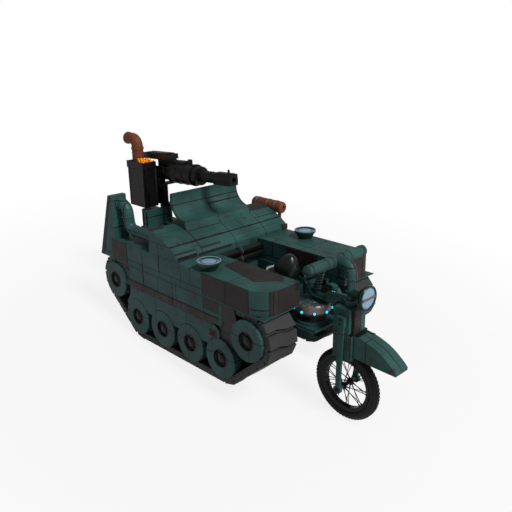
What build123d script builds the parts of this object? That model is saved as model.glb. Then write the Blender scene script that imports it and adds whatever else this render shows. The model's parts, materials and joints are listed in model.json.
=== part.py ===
from build123d import *
import os
from math import atan2, cos, degrees, hypot, pi, radians, sin, tan

os.makedirs("parts", exist_ok=True)

# Half-track motorcycle. x points forward, y to the left, z up, in millimetres.
# The model is laid out with the tracks' flat run on z = 0. The front wheel reaches below that run,
# so at the end every piece is pitched nose up to stand on the front wheel and the rear of the tracks.

# Clearances
SEAT = 0.3            # between curved pieces that seat on each other
RUN = 0.05            # radial, of a turning pin in its bore
CLEAR = 6             # between moving pieces and what they pass

# Widths that the rest follows, counted from the middle plane
WELL_HALF = 298
BOX_HALF = 713
SHEET = 8

# Track wheels and tracks. Distances across are counted from the middle plane.
WHEEL_R = 180
TRACK_BELT = 34
SHOE_THICK = 30
SHOE_PITCH = 123
SHOE_GAP = 9
SHOE_STAGGER = 26
TRACK_ROOM = 92         # from the well's wall to the track
TRACK_SIDE_GAP = 3
TRACK_IN = WELL_HALF + TRACK_ROOM
TRACK_OUT = BOX_HALF - SHEET - TRACK_SIDE_GAP
WHEEL_PROUD = 22
WHEEL_FACE = BOX_HALF + WHEEL_PROUD
OUTER_DRUM = 95
DRUM_INSET = 50
DRUM_GAP = 50
DRUM_FACETS = 14
FACE_RIM = 14
INNER_DRUM = (TRACK_IN + DRUM_INSET, WHEEL_FACE - OUTER_DRUM - DRUM_GAP)
HUB_RECESS_R = 82
HUB_RECESS = 24
HUB_CAP_R = 74
CAP_DOME = 14
AXLE_R = 30
AXLE_GRIP = 8
AXLE_END = WHEEL_FACE - OUTER_DRUM + AXLE_GRIP
ARM_THICK = 24
NECK_R = 62
PLATE_ROOM = 16
PLATE_IN = INNER_DRUM[1] + PLATE_ROOM
PLATE_THICK = 12
PLATE_LOW = 110
PLATE_RISE = (120, 150)      # above the idler and the sprocket
PLATE_PEAK = (-200, 640)
CROSS_TUBE_R = 26
CROSS_TUBE_Z = 440
ROAD_WHEEL_X = (-990, -582, -174, 234)
IDLER = (-1344, 542)
SPROCKET = (557, 520)

# Side boxes over the tracks
BOX_REAR = -1395
BOX_FRONT = 742
BOX_CORNER = 165
BOX_BOTTOM = 756
DECK_Z = 964
LOOP_ROOM = 14
FENDER_THICK = 8
FENDER_EDGE = 9
FENDER_NOSE = 11

# Skirt, ledge and outer cover of the running gear
SKIRT_Z = 598
SKIRT_REAR = -1333
SKIRT_FRONT = 250
LEDGE_DROP = 50
LEDGE_OUT = 17
COVER_REAR = -1100
COVER_FRONT = 224
COVER_Z = 335
COVER_CORNER = 95
COVER_END = 60
ARCH_GAP = 3
VENT_SLOT = (432, 474)

# Lower hull between the tracks
HULL_FLOOR = 330
HULL_FRONT = 440
HULL_WALL = 12
WELL_FLOOR = 600
WELL_REAR = -330
WELL_TUBE_R = 34
WELL_TUBE_X = -288
WELL_TUBE_Z = (905, 828)
BEAM_HALF = 70
BEAM_TOP = 392
BEAM_NOSE = 760
SEAT_X = 320
SEAT_POST_HALF = 28
TOW_Z = 620
TOW_R = 15
TOW_HALF = 42
TOW_THICK = 36
TOW_REACH = 150

# Hood over the rear half
HOOD_REAR = -743
HOOD_TOP = 1182
HOOD_MID = (-520, 1127)
HOOD_NOSE = (-349, 1025)
HOOD_LIP = 18
SHELF_HALF = 417
SHELF_FRONT = -575
BACKREST_THICK = 18
SCOOP_R = 182
SCOOP_CENTRE = (-583, 1410)
SCOOP_TOP = 1520
SHELF_Z = SCOOP_CENTRE[1] - SCOOP_R - BACKREST_THICK
TAIL_WIDE = 168
TAIL_IN = BOX_HALF - TAIL_WIDE
TAIL_TOP = 1400
TAIL_RIDGE = (-1389, -1330)
TAIL_END = -1613
SIDE_PIPE_R = 56
SIDE_PIPE_BEND = 75
SIDE_PIPE_INSET = 103        # of its middle from the box's side
SIDE_PIPE_JOG = 20
SIDE_PIPE_X = -1225
SIDE_PIPE_Z = (1310, 1062)
MUFFLER_R = 56
MUFFLER_MOUTH_R = 22
MUFFLER_Z = 1150
MUFFLER_REAR = -860
MUFFLER_FRONT = -425
DOWN_PIPE_R = 18
DOWN_PIPE_X = -350
DOWN_PIPE_Z = 900

# Front wheel and fork
HUB_X = 1030
HUB_Z = 20
TYRE_R = 325
TYRE_SECTION = 43
RIM_R = 214
RIM_DEPTH = 32
RIM_HALF = 26
FRONT_HUB_R = 34
FRONT_HUB_HALF = 60
FRONT_AXLE_R = 14
SPOKES = 20
SPOKE_R = 3.2
STEER_X = 1030
CROWN_HALF = 110
CHEEK_IN = 58
BOSS_HALF = 72
CROWN_TOP = 753
CROWN_REAR = 948
CROWN_FRONT = 1104
CROWN_NOSE = 1133
CROWN_STEP = 540
CROWN_LOW = 308
LEG_TOP = 690
LEG_NECK = 606
LEG_FOOT_R = 38
GUARD_HALF = 84
TIP_HALF = 54
GUARD_LOW = 336
GUARD_CREST = (1390, 470)
GUARD_TIP = (1597, 388)
GUARD_LIP = (1510, 288)
NECK_TUBE_R = 28
COLUMN_R = 32
HEAD_R = 56
HEAD_H = 46
BAR_R = 47
BAR_HALF = 360
BAR_Z = 1098
BAR_X = 872
BAR_BEND = 70
COLLAR_Z = 985

# Engine unit between the side boxes
ENGINE_X = 636
PLATFORM_Z = 500
PLATFORM_HALF = 180
PLATFORM_THICK = 18
DRUM_R = 112
RING_R = 158
RING_Z = 603
RING_H = 72
ENGINE_LAMPS = 9
TRAY_Z = 735
TRAY_THICK = 14
TRAY_REAR = HULL_FRONT
TRAY_FRONT = 856
TRAY_LOW_Y = -25
TRAY_HIGH_Y = 190
HOUSING_X = 748
HOUSING_R = 95
HOUSING_NEAR = 76
HOUSING_FAR = 132
TRAY_STEP = 590
TRAY_STEP_Y = 90
ARM_WIDE = 51

# Gun station at the tail
GUN_X = -1425
GUN_Z = 1530
PEDESTAL_R = 61
PEDESTAL_TOP = 1160
FOOT_HALF = 110
FOOT_THICK = 30
POST_R = 31
LOCKER_REAR = -1535
LOCKER_OUT = -263
LOCKER_IN = -70
LOCKER_TOP = 1150
BOX_LOW = 1180
BOX_HIGH = 1648
BOX_RIM = 70
RIM_OUT = 8
BOX_BACK = -1688
BOX_NOSE = -1420
BOX_OUT = -265
FRAME_X = -1478
FRAME_OVER = 50
FRAME_TOP = GUN_Z + FRAME_OVER
FRAME_FAR = 48
VENT_R = 58
VENT_X = -1612
VENT_Y = -182
VENT_Z = 1864
VENT_REACH = 160
YOKE_IN = 90
YOKE_THICK = 14
BOX_IN = -YOKE_IN - YOKE_THICK
YOKE_HALF = 34
YOKE_LOW = 1388
TRUNNION_R = 16
BARREL_RISE = 3.0
BREECH_R = 104
BORE_R = 22

# Lamps
DECK_LAMP_INSET = 93
DECK_LAMP_Y = BOX_HALF - DECK_LAMP_INSET
LAMP_R = 104
LAMP_DEPTH = 81
HEADLAMP_R = 103
HEADLAMP_RIM = 22
HEADLAMP_BEZEL = 10
HEADLAMP_SINK = 12
LAMP_BOSS_R = 36
LAMP_BOWL = 62
LAMP_SINK = 14
LAMP_FOOT = 0.62      # bowl's radius at the deck as a share of its rim's
HEADLAMP = (1207, 859)

WHEEL_Z = WHEEL_R + SEAT + TRACK_BELT + SHOE_THICK     # the flat run lies on z = 0
TRACK_R = WHEEL_Z
BEND_SEGMENTS = 4
SIDES = (-1, 1)     # right, left
pieces = []


def span(side, near, far):
    """Low and high y of a stretch that runs from near to far out from the middle plane."""
    return sorted((side * near, side * far))


def across(y_high):
    """Upright plane whose local axes are x and z, with what is extruded going towards low y."""
    return Plane.XZ.offset(-y_high)


def slab(outline, y_low, y_high, mode=Mode.ADD):
    """Side outline of (x, z) points, extruded across."""
    with BuildSketch(across(y_high)) as face:
        with BuildLine():
            Polyline(*outline, close=True)
        make_face()
    extrude(face.sketch, amount=y_high - y_low, mode=mode)


def disc(x, z, radius, y_low, y_high, mode=Mode.ADD):
    """Round drum or bore that lies across the vehicle."""
    with BuildSketch(across(y_high)) as face:
        with Locations((x, z)):
            Circle(radius)
    extrude(face.sketch, amount=y_high - y_low, mode=mode)


def block(x_low, x_high, y_low, y_high, z_low, z_high, mode=Mode.ADD):
    """Box between its limits."""
    middle = ((x_low + x_high) / 2, (y_low + y_high) / 2, (z_low + z_high) / 2)
    with Locations(middle):
        Box(x_high - x_low, y_high - y_low, z_high - z_low, mode=mode)


def post(x, y, radius, z_low, z_high, mode=Mode.ADD):
    """Upright round post or bore."""
    with Locations((x, y, (z_low + z_high) / 2)):
        Cylinder(radius, z_high - z_low, mode=mode)


def pipe(points, radius, bend):
    """Round pipe along straight runs, with each corner made as a segmented bend."""
    path = [Vector(*points[0])]
    for before, corner, after in zip(points, points[1:], points[2:]):
        middle = Vector(*corner)
        back = (Vector(*before) - middle).normalized()
        ahead = (Vector(*after) - middle).normalized()
        half_angle = radians(back.get_angle(ahead)) / 2
        centre = middle + (back + ahead).normalized() * (bend / sin(half_angle))
        start = middle + back * (bend / tan(half_angle)) - centre
        finish = middle + ahead * (bend / tan(half_angle)) - centre
        swing = pi - 2 * half_angle
        for step in range(BEND_SEGMENTS + 1):
            share = step / BEND_SEGMENTS
            path.append(centre + (start * sin((1 - share) * swing) + finish * sin(share * swing)) / sin(swing))
    path.append(Vector(*points[-1]))
    with BuildLine() as run:
        Polyline(*path)
    with BuildSketch(Plane(origin=path[0], z_dir=path[1] - path[0])) as ring:
        Circle(radius)
    sweep(ring.sketch, path=run.line, transition=Transition.RIGHT)


def keep(name, node):
    """Labels a finished piece and keeps it for the last step."""
    name.part.label = node
    pieces.append(name.part)


# Lower hull: an open tub with a bulkhead, and a nose beam that carries the engine platform
hull_side = [
    (BOX_REAR, BOX_BOTTOM - FENDER_THICK),
    (BOX_REAR, 540),
    (-1285, HULL_FLOOR),
    (HULL_FRONT, HULL_FLOOR),
    (HULL_FRONT, BOX_BOTTOM - FENDER_THICK),
]
with BuildPart() as hull:
    slab(hull_side, -WELL_HALF, WELL_HALF)
    block(BOX_REAR + HULL_WALL, HULL_FRONT - HULL_WALL, -WELL_HALF + HULL_WALL, WELL_HALF - HULL_WALL,
          WELL_FLOOR, DECK_Z, mode=Mode.SUBTRACT)
    slab([(HULL_FRONT, HULL_FLOOR), (BEAM_NOSE - 60, HULL_FLOOR + 22), (BEAM_NOSE, BEAM_TOP),
          (HULL_FRONT, BEAM_TOP)], -BEAM_HALF, BEAM_HALF)
    block(BOX_REAR - TOW_REACH, BOX_REAR, -TOW_HALF, TOW_HALF, TOW_Z - TOW_THICK / 2, TOW_Z + TOW_THICK / 2)
    post(BOX_REAR - TOW_REACH + TOW_HALF, 0, TOW_R, TOW_Z - TOW_THICK, TOW_Z + TOW_THICK, mode=Mode.SUBTRACT)
keep(hull, "hull")

# Side boxes: closed boxes with a recess below for the top of the track and a rounded outer front corner
slot_front = SPROCKET[0] + TRACK_R / 2
with BuildPart() as side_boxes:
    for side in SIDES:
        with BuildSketch(Plane.XY.offset(BOX_BOTTOM)) as box_plan:
            with Locations(((BOX_REAR + BOX_FRONT) / 2, side * (WELL_HALF + BOX_HALF) / 2)):
                Rectangle(BOX_FRONT - BOX_REAR, BOX_HALF - WELL_HALF)
            fillet(box_plan.vertices().group_by(Axis.X)[-1].sort_by(Axis.Y)[-1 if side > 0 else 0], BOX_CORNER)
        extrude(box_plan.sketch, amount=DECK_Z - BOX_BOTTOM)
        block(BOX_REAR, slot_front, *span(side, TRACK_IN - CLEAR, BOX_HALF - SHEET),
              BOX_BOTTOM, IDLER[1] + TRACK_R + LOOP_ROOM, mode=Mode.SUBTRACT)
keep(side_boxes, "side_boxes")

# Fender plates below the side boxes, with a slot for the top of the track and a pointed nose
with BuildPart() as fender_plates:
    for side in SIDES:
        with BuildSketch(Plane.XY.offset(BOX_BOTTOM - FENDER_THICK)) as plate_plan:
            with BuildLine():
                Polyline(
                    (BOX_REAR, side * (WELL_HALF - HULL_WALL)),
                    (HULL_FRONT, side * (WELL_HALF - HULL_WALL)),
                    (HULL_FRONT, side * WELL_HALF),
                    (BOX_FRONT, side * WELL_HALF),
                    (BOX_FRONT + FENDER_NOSE, side * (BOX_HALF + FENDER_EDGE)),
                    (SKIRT_FRONT, side * BOX_HALF),
                    (BOX_REAR, side * BOX_HALF),
                    close=True,
                )
            make_face()
        extrude(plate_plan.sketch, amount=FENDER_THICK)
        block(BOX_REAR - 1, slot_front, *span(side, TRACK_IN - CLEAR, BOX_HALF - SHEET),
              BOX_BOTTOM - FENDER_THICK, BOX_BOTTOM, mode=Mode.SUBTRACT)
keep(fender_plates, "fender_plates")

# Skirts with the sloping ledge that carries the outer cover
ledge_z = SKIRT_Z - LEDGE_DROP
wall_in = BOX_HALF - SHEET
ledge_y = BOX_HALF + LEDGE_OUT
with BuildPart() as skirts:
    for side in SIDES:
        with BuildSketch(Plane.YZ.offset(SKIRT_REAR)) as skirt_section:
            with BuildLine():
                Polyline(
                    (side * wall_in, BOX_BOTTOM - FENDER_THICK),
                    (side * BOX_HALF, BOX_BOTTOM - FENDER_THICK),
                    (side * BOX_HALF, SKIRT_Z),
                    (side * ledge_y, ledge_z),
                    (side * (ledge_y - SHEET), ledge_z),
                    (side * wall_in, SKIRT_Z - SHEET),
                    close=True,
                )
            make_face()
        extrude(skirt_section.sketch, amount=SKIRT_FRONT - SKIRT_REAR)
        disc(*IDLER, WHEEL_R + ARCH_GAP, *span(side, WELL_HALF, WHEEL_FACE + 1), mode=Mode.SUBTRACT)
        slab([(SKIRT_REAR - 1, ledge_z - 1), (COVER_REAR - COVER_END - 30, ledge_z - 1),
              (COVER_REAR - COVER_END, SKIRT_Z), (SKIRT_REAR - 1, SKIRT_Z + 20)],
             *span(side, WELL_HALF, WHEEL_FACE + 1), mode=Mode.SUBTRACT)
keep(skirts, "skirts")

# Outer covers: a plate hung under the ledge, cut out round the wheels
with BuildPart() as track_covers:
    for side in SIDES:
        y_low, y_high = span(side, ledge_y - SHEET, ledge_y)
        with BuildSketch(across(y_high)) as cover_side:
            with BuildLine():
                Polyline((COVER_REAR - COVER_END, ledge_z), (COVER_REAR - COVER_END, COVER_Z), (COVER_FRONT, COVER_Z),
                         (COVER_FRONT, ledge_z), close=True)
            make_face()
            fillet(cover_side.vertices().group_by(Axis.X)[-1].sort_by(Axis.Y)[-1], COVER_CORNER)
        extrude(cover_side.sketch, amount=SHEET)
        for wheel_x in ROAD_WHEEL_X:
            disc(wheel_x, WHEEL_Z, WHEEL_R + ARCH_GAP, y_low, y_high, mode=Mode.SUBTRACT)
        disc(*IDLER, TRACK_R + 10, y_low, y_high, mode=Mode.SUBTRACT)
        for slot in range(3):
            slot_x = COVER_FRONT - 96 + 22 * slot
            block(slot_x, slot_x + 14, y_low, y_high, *VENT_SLOT, mode=Mode.SUBTRACT)
keep(track_covers, "track_covers")

# Inner plates of the running gear, each on three cross tubes from the hull
wheel_centres = [(x, WHEEL_Z) for x in ROAD_WHEEL_X] + [IDLER, SPROCKET]
with BuildPart() as track_frames:
    for side in SIDES:
        slab([(IDLER[0], IDLER[1] + PLATE_RISE[0]), (ROAD_WHEEL_X[0], PLATE_LOW), (ROAD_WHEEL_X[3], PLATE_LOW),
              (SPROCKET[0], SPROCKET[1] + PLATE_RISE[1]), PLATE_PEAK], *span(side, PLATE_IN, PLATE_IN + PLATE_THICK))
        for x_behind, x_ahead in zip(ROAD_WHEEL_X, ROAD_WHEEL_X[1:]):
            disc((x_behind + x_ahead) / 2, CROSS_TUBE_Z, CROSS_TUBE_R, *span(side, WELL_HALF, PLATE_IN + 1))
        for centre in wheel_centres:
            disc(*centre, NECK_R + 8, *span(side, PLATE_IN, PLATE_IN + PLATE_THICK), mode=Mode.SUBTRACT)
keep(track_frames, "track_frames")

# Stub axles that carry the track wheels, those of the road wheels on trailing arms from the hull
with BuildPart() as stub_axles:
    for side in SIDES:
        for centre in wheel_centres:
            disc(*centre, AXLE_R, *span(side, WELL_HALF, AXLE_END))
            disc(*centre, AXLE_R + 22, *span(side, WELL_HALF, WELL_HALF + ARM_THICK))
        for x in ROAD_WHEEL_X:
            slab([(x - 40, WHEEL_Z), (x + 10, WHEEL_Z - 40), (x + 150, WHEEL_Z + 130), (x + 90, WHEEL_Z + 180)],
                 *span(side, WELL_HALF, WELL_HALF + ARM_THICK))
keep(stub_axles, "stub_axles")


def track_wheel(centre, side):
    """Outer and inner faceted drum on one neck, with a bore for the axle and a dished face."""
    face_in = WHEEL_FACE - FACE_RIM
    drum_in = WHEEL_FACE - OUTER_DRUM
    # Columns: inner end, outer end, number of flats
    for y_near, y_far, flats in ((face_in, WHEEL_FACE, 2 * DRUM_FACETS), (drum_in, face_in, DRUM_FACETS),
                                 (*INNER_DRUM, DRUM_FACETS)):
        with BuildSketch(across(max(side * y_near, side * y_far))) as facets:
            with Locations(centre):
                RegularPolygon(WHEEL_R, flats)
        extrude(facets.sketch, amount=y_far - y_near)
    disc(*centre, NECK_R, *span(side, INNER_DRUM[0], drum_in))
    disc(*centre, HUB_RECESS_R, *span(side, WHEEL_FACE - HUB_RECESS, WHEEL_FACE), mode=Mode.SUBTRACT)
    disc(*centre, AXLE_R + SEAT, *span(side, INNER_DRUM[0], AXLE_END + 2), mode=Mode.SUBTRACT)


# Track wheels: four road wheels a side, the idler behind and the sprocket in front
with BuildPart() as track_wheels:
    for side in SIDES:
        for centre in wheel_centres:
            track_wheel(centre, side)
keep(track_wheels, "track_wheels")

# Hub caps in the dished faces
with BuildPart() as hub_caps:
    for side in SIDES:
        for x, z in wheel_centres:
            cap_plane = Plane(origin=(x, side * (WHEEL_FACE - HUB_RECESS), z), x_dir=(1, 0, 0),
                              z_dir=(0, side, 0))
            with BuildSketch(cap_plane) as cap_face:
                Circle(HUB_CAP_R)
            extrude(cap_face.sketch, amount=HUB_RECESS - CAP_DOME)
            with BuildSketch(cap_plane.offset(HUB_RECESS - CAP_DOME)) as dome_face:
                RegularPolygon(HUB_CAP_R * 0.5, 6)
            extrude(dome_face.sketch, amount=CAP_DOME - 2)
keep(hub_caps, "hub_caps")


def on_loop(distance, radius):
    """Point and heading at a distance along the track loop, at a radius from the wheels."""
    centres = [(ROAD_WHEEL_X[0], WHEEL_Z), (ROAD_WHEEL_X[3], WHEEL_Z), SPROCKET, IDLER]
    for i, (x, z) in enumerate(centres):
        x_next, z_next = centres[(i + 1) % 4]
        x_after, z_after = centres[(i + 2) % 4]
        run = hypot(x_next - x, z_next - z)
        heading = atan2(z_next - z, x_next - x)
        turn = (atan2(z_after - z_next, x_after - x_next) - heading) % (2 * pi)
        out_x, out_z = sin(heading), -cos(heading)
        if distance <= run:
            along = (x + cos(heading) * distance + out_x * radius, z + sin(heading) * distance + out_z * radius)
            return along, heading
        distance -= run
        if distance <= turn * radius:
            angle = heading + distance / radius
            return (x_next + sin(angle) * radius, z_next - cos(angle) * radius), angle
        distance -= turn * radius
    raise ValueError("beyond the end of the loop")


def loop_length(radius):
    """Length of the track loop at a radius from the wheels."""
    centres = [(ROAD_WHEEL_X[0], WHEEL_Z), (ROAD_WHEEL_X[3], WHEEL_Z), SPROCKET, IDLER]
    runs = [hypot(b[0] - a[0], b[1] - a[1]) for a, b in zip(centres, centres[1:] + centres[:1])]
    return sum(runs) + 2 * pi * radius


# Tracks: a belt round the wheels with flat shoes whose ends interlock in a wave
shoe_seat = WHEEL_R + SEAT + TRACK_BELT
shoe_count = round(loop_length(shoe_seat) / SHOE_PITCH)
shoe_pitch = loop_length(shoe_seat) / shoe_count
shoe_half = (shoe_pitch - SHOE_GAP) / 2
track_width = TRACK_OUT - TRACK_IN
# Columns: place across the shoe as a share of its width, shift of the shoe's end as a share of the stagger
SHOE_WAVE = ((0.0, -0.5), (0.35, -0.5), (0.65, 0.5), (1.0, 0.5))
for side in SIDES:
    y_low, y_high = span(side, TRACK_IN, TRACK_OUT)
    with BuildPart() as track:
        with BuildSketch(across(y_high)) as belt_face:
            with BuildLine():
                Polyline((ROAD_WHEEL_X[0], WHEEL_Z), (ROAD_WHEEL_X[3], WHEEL_Z), SPROCKET, IDLER, close=True)
            make_face()
            offset(amount=shoe_seat)
        with BuildSketch(across(y_high)) as belt_hole:
            with BuildLine():
                Polyline((ROAD_WHEEL_X[0], WHEEL_Z), (ROAD_WHEEL_X[3], WHEEL_Z), SPROCKET, IDLER, close=True)
            make_face()
            offset(amount=WHEEL_R + SEAT)
        extrude(belt_face.sketch, amount=track_width)
        extrude(belt_hole.sketch, amount=track_width, mode=Mode.SUBTRACT)
        for shoe in range(shoe_count):
            (x, z), heading = on_loop((shoe + 0.5) * shoe_pitch, shoe_seat - 4)
            shoe_plane = Plane(origin=(x, side * TRACK_IN, z), x_dir=(cos(heading), 0, sin(heading)),
                               z_dir=(sin(heading), 0, -cos(heading)))
            out = shoe_plane.y_dir.Y * side
            wave = [(SHOE_STAGGER * shift, out * track_width * share) for share, shift in SHOE_WAVE]
            front_edge = [(shoe_half + along, width) for along, width in wave]
            rear_edge = [(along - shoe_half, width) for along, width in wave]
            with BuildSketch(shoe_plane) as shoe_face:
                with BuildLine():
                    Polyline(*front_edge, *reversed(rear_edge), close=True)
                make_face()
            extrude(shoe_face.sketch, amount=SHOE_THICK + 4)
    keep(track, "track_right" if side < 0 else "track_left")

# Middle deck between the side boxes, behind the well
with BuildPart() as middle_deck:
    block(BOX_REAR, WELL_REAR, -WELL_HALF, WELL_HALF, DECK_Z - SHEET, DECK_Z)
    block(BOX_REAR, BOX_REAR + SHEET, -WELL_HALF, WELL_HALF, BOX_BOTTOM, DECK_Z - SHEET)
    slab([(BOX_REAR, DECK_Z), (LOCKER_REAR, DECK_Z), (LOCKER_REAR, DECK_Z - 60), (BOX_REAR, BOX_BOTTOM + 20)],
         LOCKER_OUT, -LOCKER_OUT / 2)
    block(WELL_REAR - SHEET, WELL_REAR, -WELL_HALF + HULL_WALL, WELL_HALF - HULL_WALL, WELL_FLOOR, DECK_Z - SHEET)
keep(middle_deck, "middle_deck")

# Hood: a curved housing across both side boxes, with a raised shelf for the backrest
with BuildPart() as hood:
    with BuildSketch(across(BOX_HALF)) as hood_side:
        with BuildLine():
            ThreePointArc((HOOD_REAR, HOOD_TOP), HOOD_MID, HOOD_NOSE)
            Polyline(HOOD_NOSE, (HOOD_NOSE[0] + HOOD_LIP, HOOD_NOSE[1] - 36), (HOOD_NOSE[0] + HOOD_LIP, DECK_Z),
                     (HOOD_REAR, DECK_Z), (HOOD_REAR, HOOD_TOP))
        make_face()
    extrude(hood_side.sketch, amount=2 * BOX_HALF)
    slab([(HOOD_REAR, HOOD_TOP - 6), (HOOD_REAR, SHELF_Z), (SHELF_FRONT - 6, SHELF_Z), (SHELF_FRONT + 20, 1140),
          (SHELF_FRONT - 60, 1140)], -SHELF_HALF, SHELF_HALF)
keep(hood, "hood")

# Backrest: a scoop of rolled plate with a flat foot on the shelf
scoop_x, scoop_z = SCOOP_CENTRE
scoop_out = SCOOP_R + BACKREST_THICK
with BuildPart() as backrest:
    with BuildSketch(across(SHELF_HALF)) as scoop_side:
        with Locations(SCOOP_CENTRE):
            Circle(scoop_out)
            Circle(SCOOP_R, mode=Mode.SUBTRACT)
        with BuildLine():
            Polyline((scoop_x, scoop_z - 2 * scoop_out), (scoop_x, scoop_z), (scoop_x - 2 * scoop_out, SCOOP_TOP),
                     (scoop_x - 2 * scoop_out, scoop_z - 2 * scoop_out), close=True)
        make_face(mode=Mode.INTERSECT)
        with Locations((scoop_x - 30, SHELF_Z)):
            Rectangle(60, BACKREST_THICK, align=(Align.CENTER, Align.MIN))
    extrude(scoop_side.sketch, amount=2 * SHELF_HALF)
keep(backrest, "backrest")

# Cross tubes at the rear of the well, joined by a flanged collar
with BuildPart() as well_tubes:
    for z in WELL_TUBE_Z:
        disc(WELL_TUBE_X, z, WELL_TUBE_R, -WELL_HALF, WELL_HALF)
        disc(WELL_TUBE_X, z, WELL_TUBE_R + 5, -30, 40)
keep(well_tubes, "well_tubes")

# Tail plate behind the right side box: a tall wedge with an arch over the idler
with BuildPart() as tail_plate:
    slab([(TAIL_END, BOX_BOTTOM), (BOX_REAR, BOX_BOTTOM), (BOX_REAR, DECK_Z), (TAIL_RIDGE[1], DECK_Z),
          (TAIL_RIDGE[1], TAIL_TOP), (TAIL_RIDGE[0], TAIL_TOP)], -BOX_HALF, -TAIL_IN)
    disc(*IDLER, TRACK_R + LOOP_ROOM, -BOX_HALF + SHEET, -TAIL_IN + 1, mode=Mode.SUBTRACT)
keep(tail_plate, "tail_plate")

# Side pipe from the tail plate forward into the hood's end
pipe_y = SIDE_PIPE_INSET - BOX_HALF
with BuildPart() as side_pipe:
    pipe([(TAIL_RIDGE[1], pipe_y, SIDE_PIPE_Z[0]), (SIDE_PIPE_X, pipe_y, SIDE_PIPE_Z[0]),
          (SIDE_PIPE_X, pipe_y + SIDE_PIPE_JOG, SIDE_PIPE_Z[1]), (HOOD_REAR, pipe_y + SIDE_PIPE_JOG, SIDE_PIPE_Z[1])],
         SIDE_PIPE_R, SIDE_PIPE_BEND)
keep(side_pipe, "side_pipe")

# Far exhaust: a silencer along the hood's left wall with two bands and a pipe down into the side box
muffler_y = BOX_HALF + MUFFLER_R + SEAT
with BuildPart() as far_exhaust:
    with BuildSketch(Plane.YZ.offset(MUFFLER_REAR)) as drum_face:
        with Locations((muffler_y, MUFFLER_Z)):
            Circle(MUFFLER_R)
    extrude(drum_face.sketch, amount=MUFFLER_FRONT - MUFFLER_REAR)
    with BuildSketch(Plane.YZ.offset(MUFFLER_FRONT - 40)) as mouth_face:
        with Locations((muffler_y, MUFFLER_Z + 8)):
            Circle(MUFFLER_MOUTH_R)
    extrude(mouth_face.sketch, amount=41, mode=Mode.SUBTRACT)
    for x in (HOOD_REAR + 40, SHELF_FRONT, MUFFLER_FRONT - 60):
        block(x - 15, x + 15, BOX_HALF, muffler_y, MUFFLER_Z - 70, MUFFLER_Z - 30)
    pipe([(MUFFLER_FRONT - 10, muffler_y, MUFFLER_Z - 30), (DOWN_PIPE_X, muffler_y, MUFFLER_Z - 30),
          (DOWN_PIPE_X, muffler_y, DOWN_PIPE_Z), (DOWN_PIPE_X, BOX_HALF, DOWN_PIPE_Z)], DOWN_PIPE_R, 30)
keep(far_exhaust, "far_exhaust")

# Deck lamps: dished bowls on the side boxes, with their lenses
lamp_top = DECK_Z + LAMP_DEPTH
with BuildPart() as lamp_bowls:
    for side in SIDES:
        with Locations((0, side * DECK_LAMP_Y, DECK_Z)):
            Cone(LAMP_R * LAMP_FOOT, LAMP_R - 4, LAMP_DEPTH - 20, align=(Align.CENTER, Align.CENTER, Align.MIN))
        post(0, side * DECK_LAMP_Y, LAMP_R, lamp_top - 20, lamp_top)
        post(0, side * DECK_LAMP_Y, LAMP_R - LAMP_SINK, lamp_top - LAMP_SINK, lamp_top, mode=Mode.SUBTRACT)
keep(lamp_bowls, "lamp_bowls")
with BuildPart() as lamp_lenses:
    for side in SIDES:
        post(0, side * DECK_LAMP_Y, LAMP_R - LAMP_SINK - SEAT, lamp_top - LAMP_SINK, lamp_top - 4)
keep(lamp_lenses, "lamp_lenses")

# Saddle on its bracket. Columns: height, middle x, half length, half width
SADDLE_RINGS = ((830, 325, 112, 90), (880, 322, 138, 112), (960, 342, 100, 84), (1030, 368, 34, 30))
saddle_z = SADDLE_RINGS[0][0]
with BuildPart() as seat_bracket:
    block(WELL_REAR, HULL_FRONT - HULL_WALL - 1, -34, 34, WELL_FLOOR, WELL_FLOOR + 40)
    block(SEAT_X - 60, SEAT_X, -SEAT_POST_HALF, SEAT_POST_HALF, WELL_FLOOR + 40, saddle_z - 18)
    block(SEAT_X - 170, SEAT_X + 70, -80, 80, saddle_z - 18, saddle_z)
keep(seat_bracket, "seat_bracket")
with BuildPart() as saddle:
    for height, middle, half_length, half_width in SADDLE_RINGS:
        with BuildSketch(Plane.XY.offset(height)):
            with Locations((middle, 0)):
                Ellipse(half_length, half_width)
    loft(ruled=True)
keep(saddle, "saddle")

# Engine unit on its platform
with BuildPart() as engine_base:
    with BuildSketch(Plane.XY.offset(PLATFORM_Z - PLATFORM_THICK)):
        with Locations((ENGINE_X, 0)):
            Rectangle(2 * PLATFORM_HALF, 2 * PLATFORM_HALF)
    extrude(amount=PLATFORM_THICK)
    with BuildSketch(Plane.XY.offset(PLATFORM_Z - PLATFORM_THICK)):
        with Locations((ENGINE_X, 0)):
            Rectangle(2 * PLATFORM_HALF - 40, 2 * PLATFORM_HALF - 40)
    with BuildSketch(Plane.XY.offset(BEAM_TOP)):
        with Locations((ENGINE_X, 0)):
            Rectangle(2 * BEAM_HALF, 2 * BEAM_HALF)
    loft(ruled=True)
    post(ENGINE_X, 0, DRUM_R + 46, PLATFORM_Z, PLATFORM_Z + 16)
keep(engine_base, "engine_base")
with BuildPart() as engine_drum:
    post(ENGINE_X, 0, DRUM_R, PLATFORM_Z + 16, RING_Z)
    post(ENGINE_X, 0, RING_R, RING_Z, RING_Z + RING_H)
    chamfer(engine_drum.faces().sort_by(Axis.Z)[-1].edges(), 14)
    post(ENGINE_X, 0, RING_R - 24, RING_Z + RING_H, RING_Z + RING_H + 8)
    post(ENGINE_X, 0, 50, RING_Z + RING_H + 8, RING_Z + RING_H + 16)
keep(engine_drum, "engine_drum")
with BuildPart() as engine_lamps:
    for lamp in range(ENGINE_LAMPS):
        angle = radians(-45 + lamp * 360 / ENGINE_LAMPS)
        reach = RING_R + SEAT
        lamp_plane = Plane(origin=(ENGINE_X + reach * cos(angle), reach * sin(angle), RING_Z + 16),
                           z_dir=(cos(angle), sin(angle), 0))
        with BuildSketch(lamp_plane) as lamp_face:
            Circle(10)
        extrude(lamp_face.sketch, amount=12)
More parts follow.
